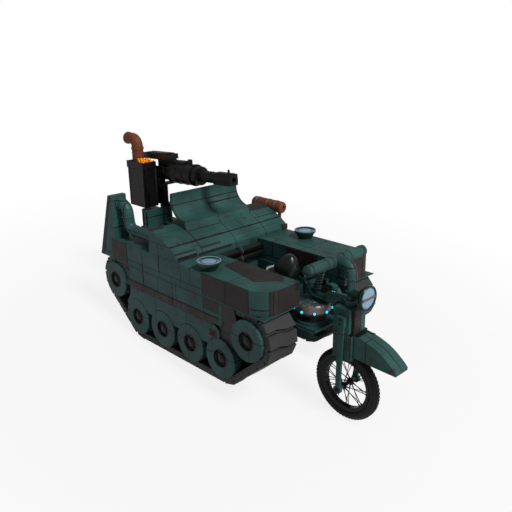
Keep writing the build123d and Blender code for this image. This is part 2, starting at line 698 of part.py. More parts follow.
keep(engine_lamps, "engine_lamps")

# Tray over the engine: it runs from the bulkhead to the steering head
with BuildPart() as tray:
    block(TRAY_STEP, TRAY_FRONT, TRAY_LOW_Y, TRAY_HIGH_Y, TRAY_Z - TRAY_THICK, TRAY_Z)
    block(TRAY_REAR, TRAY_STEP, TRAY_STEP_Y, TRAY_HIGH_Y, TRAY_Z - TRAY_THICK, TRAY_Z)
    block(TRAY_REAR, TRAY_REAR + 30, TRAY_STEP_Y, TRAY_HIGH_Y, TRAY_Z - 60, TRAY_Z)
keep(tray, "tray")

# Machinery on the tray: a half-round housing with two windows, a control box and leaning arms
with BuildPart() as engine_housing:
    disc(HOUSING_X, TRAY_Z, HOUSING_R, HOUSING_NEAR, HOUSING_FAR)
    block(HOUSING_X - 2 * HOUSING_R, HOUSING_X + 2 * HOUSING_R, HOUSING_NEAR - 1, HOUSING_FAR + 1,
          TRAY_Z - 2 * HOUSING_R, TRAY_Z, mode=Mode.SUBTRACT)
    for x in (HOUSING_X - 52, HOUSING_X + 8):
        block(x, x + 40, HOUSING_NEAR, HOUSING_NEAR + 20, TRAY_Z + 20, TRAY_Z + 56, mode=Mode.SUBTRACT)
    post(HOUSING_X - 50, (HOUSING_NEAR + HOUSING_FAR) / 2, 14, TRAY_Z, TRAY_Z + HOUSING_R + 30)
keep(engine_housing, "engine_housing")
with BuildPart() as control_box:
    slab([(TRAY_FRONT - 50, TRAY_Z), (TRAY_FRONT - 2, TRAY_Z), (TRAY_FRONT - 2, TRAY_Z + 62),
          (TRAY_FRONT - 24, TRAY_Z + 92), (TRAY_FRONT - 50, TRAY_Z + 92)], 30, HOUSING_NEAR - CLEAR)
keep(control_box, "control_box")
# Columns: near end across, where the arm's head starts along, height of the head
ARMS = ((-24, 492, 862), (30, 668, 950))
with BuildPart() as engine_arms:
    for y, head_x, head_z in ARMS:
        slab([(TRAY_STEP + 2, TRAY_Z), (TRAY_STEP + 2 + ARM_WIDE, TRAY_Z), (head_x + ARM_WIDE, head_z),
              (head_x, head_z)], y, y + 26)
keep(engine_arms, "engine_arms")

# Steering head: an arm from the tray with the collar that the column turns in
head_low = CROWN_TOP + CLEAR
with BuildPart() as steering_head:
    post(STEER_X, 0, HEAD_R, head_low, head_low + HEAD_H)
    block(TRAY_FRONT - 60, STEER_X - 30, -25, 25, head_low, head_low + HEAD_H)
    block(TRAY_FRONT - 60, TRAY_FRONT, -25, 25, TRAY_Z, head_low)
    post(STEER_X, 0, NECK_TUBE_R + RUN, head_low, head_low + HEAD_H, mode=Mode.SUBTRACT)
keep(steering_head, "steering_head")

# Fork crown: a block over the tyre with cheeks beside it and a boss in front
with BuildPart() as fork_crown:
    block(CROWN_REAR, CROWN_FRONT, -CROWN_HALF, CROWN_HALF, CROWN_STEP, CROWN_TOP)
    block(CROWN_REAR, CROWN_NOSE, -CROWN_HALF, CROWN_HALF, CROWN_LOW, CROWN_STEP)
    block(CROWN_FRONT, CROWN_NOSE, -BOSS_HALF, BOSS_HALF, CROWN_STEP, CROWN_TOP)
    block(CROWN_REAR, CROWN_NOSE, -CHEEK_IN, CHEEK_IN, CROWN_LOW, HUB_Z + TYRE_R + 35, mode=Mode.SUBTRACT)
keep(fork_crown, "fork_crown")

# Fork legs down to the hub
leg_in = CROWN_HALF
with BuildPart() as fork_legs:
    for side in SIDES:
        block(HUB_X - 30, HUB_X + 48, *span(side, leg_in, leg_in + 34), LEG_NECK, LEG_TOP)
        slab([(HUB_X - 10, LEG_NECK), (HUB_X + 40, LEG_NECK), (HUB_X + 22, HUB_Z), (HUB_X - 22, HUB_Z)],
             *span(side, leg_in + 6, leg_in + 28))
        disc(HUB_X, HUB_Z, LEG_FOOT_R, *span(side, leg_in + 4, leg_in + 32))
        block(HUB_X - 18, HUB_X + 40, *span(side, leg_in, leg_in + SHEET), CROWN_STEP, LEG_NECK)
    disc(HUB_X, HUB_Z, FRONT_AXLE_R, -leg_in - 40, leg_in + 40)
keep(fork_legs, "fork_legs")

# Front mudguard: a beak in front of the crown, grooved below for the tyre
with BuildPart() as front_guard:
    with BuildSketch(across(GUARD_HALF)) as guard_side:
        with BuildLine():
            Line((CROWN_NOSE, GUARD_LOW), (CROWN_NOSE, CROWN_STEP - 4))
            ThreePointArc((CROWN_NOSE, CROWN_STEP - 4), GUARD_CREST, GUARD_TIP)
            Polyline(GUARD_TIP, GUARD_LIP, (CROWN_NOSE, GUARD_LOW))
        make_face()
    extrude(guard_side.sketch, amount=2 * GUARD_HALF)
    with BuildSketch(Plane.XY) as guard_plan:
        with BuildLine():
            Polyline((CROWN_NOSE, -GUARD_HALF), (GUARD_TIP[0], -TIP_HALF), (GUARD_TIP[0], TIP_HALF),
                     (CROWN_NOSE, GUARD_HALF), close=True)
        make_face()
    extrude(guard_plan.sketch, amount=CROWN_TOP, mode=Mode.INTERSECT)
    disc(HUB_X, HUB_Z, TYRE_R + 16, -TIP_HALF + 4, TIP_HALF - 4, mode=Mode.SUBTRACT)
keep(front_guard, "front_guard")

# Front wheel: tyre, rim, spokes and hub
with BuildPart() as front_tyre:
    with BuildSketch(Plane.XY) as tyre_section:
        with Locations((HUB_X + TYRE_R - TYRE_SECTION, 0)):
            RegularPolygon(TYRE_SECTION, 12)
        with Locations((HUB_X + RIM_R / 2 + RIM_DEPTH / 2, 0)):
            Rectangle(RIM_R + RIM_DEPTH, 2 * TYRE_SECTION, mode=Mode.SUBTRACT)
    revolve(tyre_section.sketch.moved(Location((0, 0, HUB_Z))),
            axis=Axis((HUB_X, 0, HUB_Z), (0, 1, 0)))
keep(front_tyre, "front_tyre")
with BuildPart() as front_rim:
    disc(HUB_X, HUB_Z, RIM_R + RIM_DEPTH, -RIM_HALF, RIM_HALF)
    disc(HUB_X, HUB_Z, RIM_R, -RIM_HALF, RIM_HALF, mode=Mode.SUBTRACT)
    disc(HUB_X, HUB_Z, FRONT_HUB_R, -FRONT_HUB_HALF, FRONT_HUB_HALF)
    for spoke in range(SPOKES):
        angle = radians(spoke * 360 / SPOKES)
        lean = 16 if spoke % 2 else -16
        start = Vector(HUB_X + (FRONT_HUB_R - 3) * cos(angle), lean, HUB_Z + (FRONT_HUB_R - 3) * sin(angle))
        finish = Vector(HUB_X + RIM_R * cos(angle), 0, HUB_Z + RIM_R * sin(angle))
        with BuildSketch(Plane(origin=start, z_dir=finish - start)) as spoke_face:
            RegularPolygon(SPOKE_R, 5)
        extrude(spoke_face.sketch, amount=(finish - start).length + 3)
    disc(HUB_X, HUB_Z, FRONT_AXLE_R + RUN, -FRONT_HUB_HALF, FRONT_HUB_HALF, mode=Mode.SUBTRACT)
keep(front_rim, "front_rim")

# Steering column with its elbow and the handlebar
neck_top = head_low + HEAD_H + CLEAR
with BuildPart() as column:
    post(STEER_X, 0, NECK_TUBE_R, CROWN_TOP, neck_top)
    post(STEER_X, 0, COLUMN_R + 10, neck_top, neck_top + 8)
    post(STEER_X, 0, COLUMN_R, neck_top + 8, COLLAR_Z)
    post(STEER_X, 0, BAR_R + 4, COLLAR_Z, COLLAR_Z + 18)
    pipe([(STEER_X, 0, COLLAR_Z + 18), (STEER_X, 0, BAR_Z), (BAR_X, 0, BAR_Z)], BAR_R, BAR_BEND)
    disc(BAR_X, BAR_Z, BAR_R, -BAR_HALF, BAR_HALF)
    for y in (-78, 62):
        disc(BAR_X, BAR_Z, BAR_R + 5, y, y + 16)
keep(column, "handlebar")

# Headlamp on a boss of the column
bowl_x = HEADLAMP[0] - LAMP_BOWL
with BuildPart() as headlamp:
    with BuildSketch(Plane.YZ.offset(STEER_X)) as boss_face:
        with Locations((0, HEADLAMP[1])):
            Circle(LAMP_BOSS_R)
    extrude(boss_face.sketch, amount=bowl_x + 1 - STEER_X)
    post(STEER_X, 0, COLUMN_R, HEADLAMP[1] - 2 * LAMP_BOSS_R, HEADLAMP[1] + 2 * LAMP_BOSS_R, mode=Mode.SUBTRACT)
    block(STEER_X - COLUMN_R, STEER_X, -HEADLAMP_R, HEADLAMP_R, HEADLAMP[1] - HEADLAMP_R,
          HEADLAMP[1] + HEADLAMP_R, mode=Mode.SUBTRACT)
    with Locations(Location((bowl_x, 0, HEADLAMP[1]), (0, 90, 0))):
        Cone(HEADLAMP_R * 0.7, HEADLAMP_R, LAMP_BOWL - HEADLAMP_RIM,
             align=(Align.CENTER, Align.CENTER, Align.MIN))
    with Locations(Location((HEADLAMP[0] - HEADLAMP_RIM, 0, HEADLAMP[1]), (0, 90, 0))):
        Cylinder(HEADLAMP_R, HEADLAMP_RIM, align=(Align.CENTER, Align.CENTER, Align.MIN))
    with Locations(Location((HEADLAMP[0] - HEADLAMP_SINK, 0, HEADLAMP[1]), (0, 90, 0))):
        Cylinder(HEADLAMP_R - HEADLAMP_BEZEL, HEADLAMP_SINK, align=(Align.CENTER, Align.CENTER, Align.MIN),
                 mode=Mode.SUBTRACT)
keep(headlamp, "headlamp")
with BuildPart() as headlamp_lens:
    with BuildSketch(Plane.YZ.offset(HEADLAMP[0] - HEADLAMP_SINK)) as lens_face:
        with Locations((0, HEADLAMP[1])):
            Circle(HEADLAMP_R - HEADLAMP_BEZEL - SEAT)
    extrude(lens_face.sketch, amount=HEADLAMP_SINK - 3)
keep(headlamp_lens, "headlamp_lens")

# Gun station: pedestal beside a locker, turning post with the ammunition box, and the gun
with BuildPart() as gun_pedestal:
    block(GUN_X - FOOT_HALF, GUN_X + FOOT_HALF, LOCKER_IN, -LOCKER_OUT / 2, DECK_Z, DECK_Z + FOOT_THICK)
    post(GUN_X, 0, PEDESTAL_R, DECK_Z + FOOT_THICK, PEDESTAL_TOP)
    post(GUN_X, 0, POST_R + RUN, DECK_Z + 2 * FOOT_THICK, PEDESTAL_TOP, mode=Mode.SUBTRACT)
keep(gun_pedestal, "gun_pedestal")
with BuildPart() as rear_locker:
    block(LOCKER_REAR, GUN_X + YOKE_HALF, LOCKER_OUT, LOCKER_IN, DECK_Z, LOCKER_TOP)
    fillet(rear_locker.edges().filter_by(Axis.Z).group_by(Axis.X)[0].sort_by(Axis.Y)[0], FOOT_HALF / 2)
    for x in (GUN_X - 60, GUN_X):
        block(x, x + 22, LOCKER_OUT, LOCKER_OUT + 12, DECK_Z + 20, LOCKER_TOP - 20, mode=Mode.SUBTRACT)
keep(rear_locker, "rear_locker")
with BuildPart() as gun_cradle:
    post(GUN_X, 0, POST_R, DECK_Z + 2 * FOOT_THICK, YOKE_LOW)
    post(GUN_X, 0, PEDESTAL_R, PEDESTAL_TOP + CLEAR, PEDESTAL_TOP + CLEAR + 24)
    block(GUN_X - YOKE_HALF, GUN_X + YOKE_HALF, -YOKE_IN - YOKE_THICK, YOKE_IN + YOKE_THICK,
          YOKE_LOW, YOKE_LOW + 24)
    for side in SIDES:
        block(GUN_X - YOKE_HALF, GUN_X + YOKE_HALF, *span(side, YOKE_IN, YOKE_IN + YOKE_THICK),
              YOKE_LOW, GUN_Z + YOKE_HALF)
    disc(GUN_X, GUN_Z, TRUNNION_R + RUN, -YOKE_IN - YOKE_THICK, YOKE_IN + YOKE_THICK, mode=Mode.SUBTRACT)
    block(FRAME_X, GUN_X, -20, 20, BOX_LOW + 110, BOX_LOW + 150)
    block(FRAME_X - 22, FRAME_X, BOX_IN, FRAME_FAR, BOX_LOW, FRAME_TOP)
    block(FRAME_X - 8, FRAME_X, BOX_IN + 18, FRAME_FAR - 18, BOX_LOW + 150, FRAME_TOP - 18, mode=Mode.SUBTRACT)
keep(gun_cradle, "gun_cradle")
rim_z = BOX_HIGH - BOX_RIM
rim_floor = BOX_HIGH - 40
with BuildPart() as ammo_box:
    block(BOX_BACK, BOX_NOSE, BOX_OUT, BOX_IN, BOX_LOW, rim_z)
    block(BOX_BACK - RIM_OUT, BOX_NOSE + RIM_OUT, BOX_OUT - RIM_OUT, BOX_IN, rim_z, BOX_HIGH)
    block(BOX_BACK + RIM_OUT, BOX_NOSE - RIM_OUT, BOX_OUT + RIM_OUT, BOX_IN - RIM_OUT, rim_floor, BOX_HIGH,
          mode=Mode.SUBTRACT)
    block(BOX_NOSE, BOX_NOSE + 10, BOX_OUT + 20, BOX_OUT + 40, BOX_LOW, rim_z)
    block(BOX_NOSE, BOX_NOSE + 26, BOX_OUT + 40, BOX_IN - 20, BOX_LOW + 10, BOX_LOW + 150)
keep(ammo_box, "ammo_box")
with BuildPart() as cartridges:
    block(VENT_X + VENT_R + CLEAR, BOX_NOSE - 2 * RIM_OUT, BOX_OUT + 2 * RIM_OUT, BOX_IN - 2 * RIM_OUT,
          rim_floor, BOX_HIGH + 8)
keep(cartridges, "cartridges")
with BuildPart() as vent_stack:
    pipe([(VENT_X, VENT_Y, rim_floor), (VENT_X, VENT_Y, VENT_Z), (VENT_X - VENT_REACH, VENT_Y, VENT_Z)],
         VENT_R, VENT_R + 14)
    post(VENT_X, VENT_Y, VENT_R + 6, VENT_Z - 104, VENT_Z - 80)
keep(vent_stack, "vent_stack")
gun_axis = Plane(origin=(GUN_X, 0, GUN_Z), x_dir=(0, 1, 0),
                 z_dir=(cos(radians(BARREL_RISE)), 0, sin(radians(BARREL_RISE))))
# Columns: where each part of the gun starts and ends ahead of the trunnions, its radius or size, and how far
# its middle lies above the gun's axis
GUN_ROUNDS = ((-6, 185, BREECH_R - 20), (185, 545, BREECH_R), (545, 620, BREECH_R - 12), (620, 845, 54))
GUN_BLOCKS = ((-6, 160, (120, 150), 65), (-285, 160, (164, 46), 160), (845, 1085, (100, 104), 0))
with BuildPart() as gun_body:
    for start, finish, radius in GUN_ROUNDS:
        with BuildSketch(gun_axis.offset(start)) as round_face:
            Circle(radius)
        extrude(round_face.sketch, amount=finish - start)
    for start, finish, (wide, high), above in GUN_BLOCKS:
        with BuildSketch(gun_axis.offset(start)) as block_face:
            with Locations((0, above)):
                Rectangle(wide, high)
        extrude(block_face.sketch, amount=finish - start)
    with BuildSketch(gun_axis.offset(GUN_BLOCKS[-1][1])) as bore_face:
        Circle(BORE_R)
    extrude(bore_face.sketch, amount=-60, mode=Mode.SUBTRACT)
    disc(GUN_X, GUN_Z, TRUNNION_R, -YOKE_IN - YOKE_THICK / 2, YOKE_IN + YOKE_THICK / 2)
keep(gun_body, "gun_body")

# Parked pose: nose up until front wheel and the tracks' rear bend stand on one floor
shoe_corners = {(v.X, v.Z) for v in track.part.vertices()}


def lowest_gap(angle):
    """How much higher the wheel's lowest point stands than the tracks' lowest corner at a pitch."""
    wheel_low = HUB_X * sin(angle) + HUB_Z * cos(angle) - TYRE_R
    track_low = min(x * sin(angle) + z * cos(angle) for x, z in shoe_corners)
    return wheel_low - track_low


low, high = 0.0, radians(30)
for step in range(40):
    pitch = (low + high) / 2
    if lowest_gap(pitch) < 0:
        low = pitch
    else:
        high = pitch

stance = Location((0, 0, 0), (0, -degrees(pitch), 0))
corners = [piece.moved(stance).bounding_box() for piece in pieces]
shift = Vector(
    -(min(c.min.X for c in corners) + max(c.max.X for c in corners)) / 2,
    -(min(c.min.Y for c in corners) + max(c.max.Y for c in corners)) / 2,
    -min(c.min.Z for c in corners),
)
stance = Location(shift) * stance
for piece in pieces:
    stood = piece.moved(stance)
    stood.label = piece.label
    export_step(stood, f"parts/{piece.label}.step")


def stood_at(x, y, z):
    """Where a point of the level model lies in the parked pose."""
    place = (stance * Location((x, y, z))).position
    return f"{place.X:.3f} {place.Y:.3f} {place.Z:.3f}"


# Places and directions that fit the joints and mounts of this vehicle
print(f"pitch {degrees(pitch):.5f} shift {shift.X:.3f} {shift.Y:.3f} {shift.Z:.3f}")
print("steering", stood_at(STEER_X, 0, CROWN_TOP))
print("front_wheel", stood_at(HUB_X, 0, HUB_Z))
print("gun_traverse", stood_at(GUN_X, 0, PEDESTAL_TOP))
print("gun_elevation", stood_at(GUN_X, 0, GUN_Z))
print("tow_hole", stood_at(BOX_REAR - TOW_REACH + TOW_HALF, 0, TOW_Z))
print("nodes", len(pieces))
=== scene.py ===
# %% [markdown]
# # Dressing a half-track motorcycle
# The rigid shapes come packed from CAD, in metres, as a fixed frame. This lesson gives them their finishes
# and adds what is too small or too soft for CAD: armour plates, bolts, pins, ribs, the saddle's leather and
# the tyre's tread.

# %% Load the frame
import json
from math import atan2, cos, hypot, pi, radians, sin

import bmesh
import bpy
from mathutils import Matrix, Vector


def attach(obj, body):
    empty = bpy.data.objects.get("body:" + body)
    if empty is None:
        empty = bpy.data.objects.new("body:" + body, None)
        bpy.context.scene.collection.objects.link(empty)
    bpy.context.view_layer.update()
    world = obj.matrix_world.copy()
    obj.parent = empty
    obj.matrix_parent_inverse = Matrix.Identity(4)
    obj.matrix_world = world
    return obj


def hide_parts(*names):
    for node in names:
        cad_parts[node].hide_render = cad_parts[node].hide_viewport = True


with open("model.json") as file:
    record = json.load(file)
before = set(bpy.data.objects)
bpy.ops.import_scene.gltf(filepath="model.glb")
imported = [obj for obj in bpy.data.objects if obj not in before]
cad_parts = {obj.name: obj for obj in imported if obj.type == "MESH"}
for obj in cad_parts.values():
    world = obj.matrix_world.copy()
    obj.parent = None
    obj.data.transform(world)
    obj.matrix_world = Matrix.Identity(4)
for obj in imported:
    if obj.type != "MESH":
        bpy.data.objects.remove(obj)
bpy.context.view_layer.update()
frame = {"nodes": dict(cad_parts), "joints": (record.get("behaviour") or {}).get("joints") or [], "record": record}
nodes = frame["nodes"]
joints = {joint["name"]: joint for joint in frame["joints"]}

# %% [markdown]
# ## A level workbench
# The vehicle is parked nose up, so nothing on it is level in the row's frame. It is far easier to model on
# a level machine. The steering axis tells the pitch, and the front wheel's hub tells the shift, so every
# piece is made level, and its mesh is then turned into place.

# %% From the level machine to the parked one
HUB = Vector((1.030, 0.0, 0.020))      # the front wheel's hub on the level machine
steer_axis = joints["steering"]["axis"]
PITCH = atan2(-steer_axis[0], steer_axis[2])
turn = Matrix.Rotation(-PITCH, 4, "Y")
PARK = Matrix.Translation(Vector(joints["front_wheel_spin"]["pos_m"]) - turn @ HUB) @ turn
LEVEL = PARK.inverted()
PARK_MM = PARK @ Matrix.Scale(0.001, 4)      # takes level millimetres to the row's metres
scene = bpy.context.scene
print("pitch", round(PITCH * 180 / pi, 3), "degrees")

# %% Main places of the level machine, in millimetres
HUB_MM = HUB * 1000
BOX_SIDE, WELL_SIDE = 713, 298                # outer and inner faces of the side boxes
BOX_LOW, DECK = 756, 964                      # their underside and deck
NOSE, CORNER = 742, 165                       # their front face and the radius of its corner
WHEEL_FACE = 735                              # outer faces of the track wheels
ROAD_WHEELS = [(x, 244.3) for x in (-990, -582, -174, 234)]
IDLER, SPROCKET = (-1344, 542), (557, 520)
TRACK_IN, TRACK_OUT = 390, 702                # the belts' edges
print("boxes reach from", WELL_SIDE, "to", BOX_SIDE, "mm, on", len(ROAD_WHEELS), "road wheels a side")

# %% [markdown]
# ## Paint that has worked for a living
# The panels are dark teal, with black seams between the plates and brown where the paint has worn through.
# Bricks in space give the plates: each row is shifted along the body by a random share, and the distance to
# the nearest brick wall draws the seam. The texture reads Object coordinates, turned level by a Mapping
# node, so the seams run along the body.

# %% Helpers for node trees
def step(tree, kind, sources=None, **settings):
    """Adds a node; each of its sockets gets a link or a value. Returns its outputs."""
    node = tree.nodes.new(kind)
    for key, value in settings.items():
        setattr(node, key, value)
    for label, source in (sources or {}).items():
        if isinstance(source, bpy.types.NodeSocket):
            tree.links.new(source, node.inputs[label])
        elif source is not None:
            node.inputs[label].default_value = source
    return node.outputs


def math_node(tree, operation, a, b=None):
    """One Math node; a and b are sockets or numbers."""
    return step(tree, "ShaderNodeMath", {0: a, 1: b}, operation=operation)[0]


def vector_node(tree, operation, a, b=None):
    """One Vector Math node; a and b are sockets or triples."""
    return step(tree, "ShaderNodeVectorMath", {0: a, 1: b}, operation=operation)[0]


def blend_colour(tree, factor, low, high):
    """Mix of two colours, each a socket or an RGB triple."""
    low, high = ((*tint, 1) if isinstance(tint, tuple) else tint for tint in (low, high))
    return step(tree, "ShaderNodeMix", {"Factor": factor, "A": low, "B": high}, data_type="RGBA")["Result"]


def noise(tree, vector, scale, detail=3.0):
    """Noise between 0 and 1 at so many features per metre."""
    return step(tree, "ShaderNodeTexNoise", {"Vector": vector, "Scale": scale, "Detail": detail})["Fac"]


def ramp(tree, value, low, high):
    """0 up to low, 1 from high."""
    return step(tree, "ShaderNodeMapRange", {"Value": value, "From Min": low, "From Max": high})["Result"]


def fade(tree, value, low, high):
    """1 up to low, 0 from high."""
    return math_node(tree, "SUBTRACT", 1.0, ramp(tree, value, low, high))


# %% Seams of bricks in space
def plates(tree, vector, size):
    """Staggered bricks: how far the nearest seam is, in metres, and a random value for each brick."""
    middle = (0.5, 0.5, 0.5)
    scaled = vector_node(tree, "DIVIDE", vector, size)
    rows = vector_node(tree, "MULTIPLY", vector_node(tree, "FLOOR", scaled), (0, 1, 1))
    stagger = step(tree, "ShaderNodeTexWhiteNoise", {"Vector": rows})["Color"]
    shifted = vector_node(tree, "ADD", scaled, vector_node(tree, "MULTIPLY", stagger, (1, 0, 0)))
    chance = step(tree, "ShaderNodeTexWhiteNoise", {"Vector": vector_node(tree, "FLOOR", shifted)})["Value"]
    inside = vector_node(tree, "SUBTRACT", vector_node(tree, "FRACTION", shifted), middle)
    to_seam = vector_node(tree, "SUBTRACT", middle, vector_node(tree, "ABSOLUTE", inside))
    parts = step(tree, "ShaderNodeSeparateXYZ", {0: vector_node(tree, "MULTIPLY", to_seam, size)})
    nearest = math_node(tree, "MINIMUM", parts[0], math_node(tree, "MINIMUM", parts[1], parts[2]))
    return nearest, chance


# %% The worn paints
TEAL, DEEP_TEAL = (0.026, 0.082, 0.075), (0.018, 0.054, 0.050)
BROWN_BLACK, DEEP_BROWN = (0.026, 0.021, 0.021), (0.018, 0.013, 0.013)
WORN_BROWN, SEAM_BLACK = (0.036, 0.018, 0.016), (0.003, 0.003, 0.003)
FINE_SHARE = (0.31, 0.23, 0.43)      # a fine plate's sides, as shares of a plate's


def worn_paint(name, base, deep, plate_size, dark_share=0.0):
    """Painted plates with thin seams, an odd dark plate and worn brown streaks."""
    material = bpy.data.materials.new(name)
    material.use_nodes = True
    tree = material.node_tree
    place = step(tree, "ShaderNodeTexCoord")["Object"]
    level = step(tree, "ShaderNodeMapping",
                 {"Vector": place, "Rotation": (0, PITCH, 0), "Location": LEVEL.translation})["Vector"]
    gap, chance = plates(tree, level, plate_size)
    fine_gap = plates(tree, level, tuple(side * share for side, share in zip(plate_size, FINE_SHARE)))[0]
    seam = fade(tree, gap, 0.002, 0.005)
    fine_seam = math_node(tree, "MULTIPLY", fade(tree, fine_gap, 0.0005, 0.002), 0.4)
    rubbed = ramp(tree, noise(tree, level, 5.0, 4.0), 0.52, 0.62)
    worn_edge = math_node(tree, "MULTIPLY", fade(tree, gap, 0.004, 0.010), rubbed)
    smears = math_node(tree, "MULTIPLY", ramp(tree, noise(tree, level, 9.0, 8.0), 0.64, 0.69), 0.6)
    colour = blend_colour(tree, ramp(tree, noise(tree, level, 4.0, 6.0), 0.35, 0.66), deep, base)
    dark_plate = math_node(tree, "LESS_THAN", chance, dark_share)
    for share, tint in ((dark_plate, BROWN_BLACK), (fine_seam, SEAM_BLACK), (worn_edge, WORN_BROWN),
                        (smears, WORN_BROWN), (seam, SEAM_BLACK)):
        colour = blend_colour(tree, share, colour, tint)
    roughness = step(tree, "ShaderNodeMapRange",
                     {"Value": noise(tree, level, 14.0), "To Min": 0.3, "To Max": 0.6})["Result"]
    relief = math_node(tree, "SUBTRACT", noise(tree, level, 45.0, 5.0), seam)
    normal = step(tree, "ShaderNodeBump", {"Height": relief, "Strength": 0.25, "Distance": 0.003})["Normal"]
    shader = tree.nodes["Principled BSDF"].inputs
    shader["Specular IOR Level"].default_value = 0.2
    tree.links.new(colour, shader["Base Color"])
    tree.links.new(roughness, shader["Roughness"])
    tree.links.new(normal, shader["Normal"])
    return material


finishes = {
    "body_paint": worn_paint("teal_paint", TEAL, DEEP_TEAL, (0.46, 0.41, 0.27)),
    "dark_panels": worn_paint("dark_paint", BROWN_BLACK, DEEP_BROWN, (0.37, 0.3, 0.33)),
    "grey_brown": worn_paint("grey_brown", (0.040, 0.032, 0.030), (0.030, 0.024, 0.023), (0.5, 0.5, 0.5)),
    "ledge_paint": worn_paint("ledge_paint", (0.055, 0.046, 0.042), (0.03, 0.022, 0.02), (0.3, 0.3, 0.3),
                              dark_share=0.3),
}
print("paints", list(finishes))

# %% [markdown]
# ## Plain finishes
# The other metals, rubber and glass each have one colour and one roughness on the shader itself.

# %% Plain finishes
# Columns: colour, roughness, and where they differ from plain paint, metallic share and specular level
PLAIN_FINISHES = {
    "black_metal": ((0.004, 0.004, 0.004), 0.3, 0.0, 0.25),
    "track_steel": ((0.036, 0.036, 0.036), 0.5, 0.2, 0.3),
    "machined_steel": ((0.03, 0.03, 0.032), 0.25, 0.8),
    "rusty_pipe": ((0.135, 0.036, 0.013), 0.6, 0.0, 0.3),
    "lamp_shell": ((0.006, 0.026, 0.018), 0.3, 0.0, 0.3),
    # the glass's light blue is a painted reflection of the sky
    "lens": ((0.19, 0.31, 0.43), 0.12),
    "saddle_leather": ((0.005, 0.008, 0.006), 0.3, 0.0, 0.35),
    "engine_casting": ((0.14, 0.11, 0.11), 0.5, 0.3),
    "glow": ((0.0, 0.6, 0.7), 0.3),
    "tyre_rubber": ((0.004, 0.004, 0.004), 0.45, 0.0, 0.25),
    "gun_metal": ((0.004, 0.004, 0.004), 0.4, 0.0, 0.25),
    "brass_rounds": ((1.0, 0.35, 0.0), 0.4),
    "lamp_strip": ((0.13, 0.09, 0.08), 0.5),
    "bright_ring": ((0.17, 0.24, 0.28), 0.3),
    # dark streak painted in the lenses' sky reflection
    "reflection_streak": ((0.02, 0.04, 0.06), 0.3),
    "grille_red": ((0.05, 0.02, 0.02), 0.5),
    "band_grey": ((0.09, 0.08, 0.09), 0.4, 0.2),
    # pale colour of the saddle pan's rim: a painted highlight
    "rim_highlight_paint": ((0.22, 0.25, 0.25), 0.3),
    "engine_ring": ((0.17, 0.135, 0.135), 0.35, 0.3),
    "sector_teal": ((0.018, 0.085, 0.080), 0.35),
    "socket_red": ((0.06, 0.008, 0.008), 0.4),
    "window_red": ((0.05, 0.012, 0.010), 0.5),
    # near-black discs on the gun's jacket: painted shade in its holes
    "painted_hole_shade": ((0.001, 0.001, 0.001), 0.9),
    "box_edges": ((0.022, 0.021, 0.021), 0.45, 0.2),
    "floor_paint": ((0.55, 0.55, 0.55), 0.9),
}


def plain(name, colour, roughness, metallic=0.0, specular=0.4):
    """A finish that is the same all over."""
    material = bpy.data.materials.new(name)
    material.use_nodes = True
    shader = material.node_tree.nodes["Principled BSDF"].inputs
    shader["Base Color"].default_value = (*colour, 1)
    shader["Roughness"].default_value = roughness
    shader["Metallic"].default_value = metallic
    shader["Specular IOR Level"].default_value = specular
    return material


finishes.update({name: plain(name, *row) for name, row in PLAIN_FINISHES.items()})
pilot_lamp = finishes["glow"].node_tree.nodes["Principled BSDF"].inputs
pilot_lamp["Emission Color"].default_value = (0.0, 0.8, 0.9, 1)
pilot_lamp["Emission Strength"].default_value = 1.6
slot_of = {part["node"]: part["material_slot"] for part in frame["record"]["subparts"]}
for node_name, node in nodes.items():
    node.data.materials.clear()
    node.data.materials.append(finishes[slot_of[node_name]])
print("finishes on", len(nodes), "nodes")

# %% [markdown]
# ## Mesh helpers
# Most trim is a box with broken edges, an outline with a thickness, or a shape turned on a lathe. They are
# made level and in millimetres, which are the numbers that a workshop drawing would have.

# %% Boxes, outlines and turned shapes
def to_mesh(bm):
    """A mesh with its faces outwards."""
    bmesh.ops.recalc_face_normals(bm, faces=bm.faces)
    mesh = bpy.data.meshes.new("trim")
    bm.to_mesh(mesh)
    bm.free()
    return mesh


def brick(x, y, z, bevel=2.0):
    """Box between three pairs of limits, with broken edges."""
    bm = bmesh.new()
    bmesh.ops.create_cube(bm, size=1.0)
    middle = [(low + high) / 2 for low, high in (x, y, z)]
    size = [high - low for low, high in (x, y, z)]
    bm.transform(Matrix.Translation(middle) @ Matrix.Diagonal((*size, 1)))
    bmesh.ops.bevel(bm, geom=bm.edges[:], offset=bevel, segments=1, affect="EDGES")
    return to_mesh(bm)


def skin(rows, ring=False, capped=False):
    """Faces between closed rows of points, as a BMesh; a row of one point is a tip."""
    bm = bmesh.new()
    loops = [[bm.verts.new(point) for point in row] for row in rows]
    pairs = list(zip(loops, loops[1:]))
    if ring:
        pairs.append((loops[-1], loops[0]))
    for low, high in pairs:
        count = max(len(low), len(high))
        for i in range(count):
            j = (i + 1) % count
            corners = (low[i % len(low)], low[j % len(low)], high[j % len(high)], high[i % len(high)])
            bm.faces.new(list(dict.fromkeys(corners)))
    if capped:
        bm.faces.new(loops[0])
        bm.faces.new(loops[-1])
    return bm


def prism(outline, low, high, bevel=2.0, along="y"):
    """An outline given a thickness along one axis; its points have the other two coordinates."""
    axis_index = "xyz".index(along)
    rows = [[(*point[:axis_index], depth, *point[axis_index:]) for point in outline] for depth in (low, high)]
    bm = skin(rows, capped=True)
    bmesh.ops.recalc_face_normals(bm, faces=bm.faces)
    if bevel:
        bmesh.ops.bevel(bm, geom=bm.edges[:], offset=bevel, segments=1, affect="EDGES")
    return to_mesh(bm)


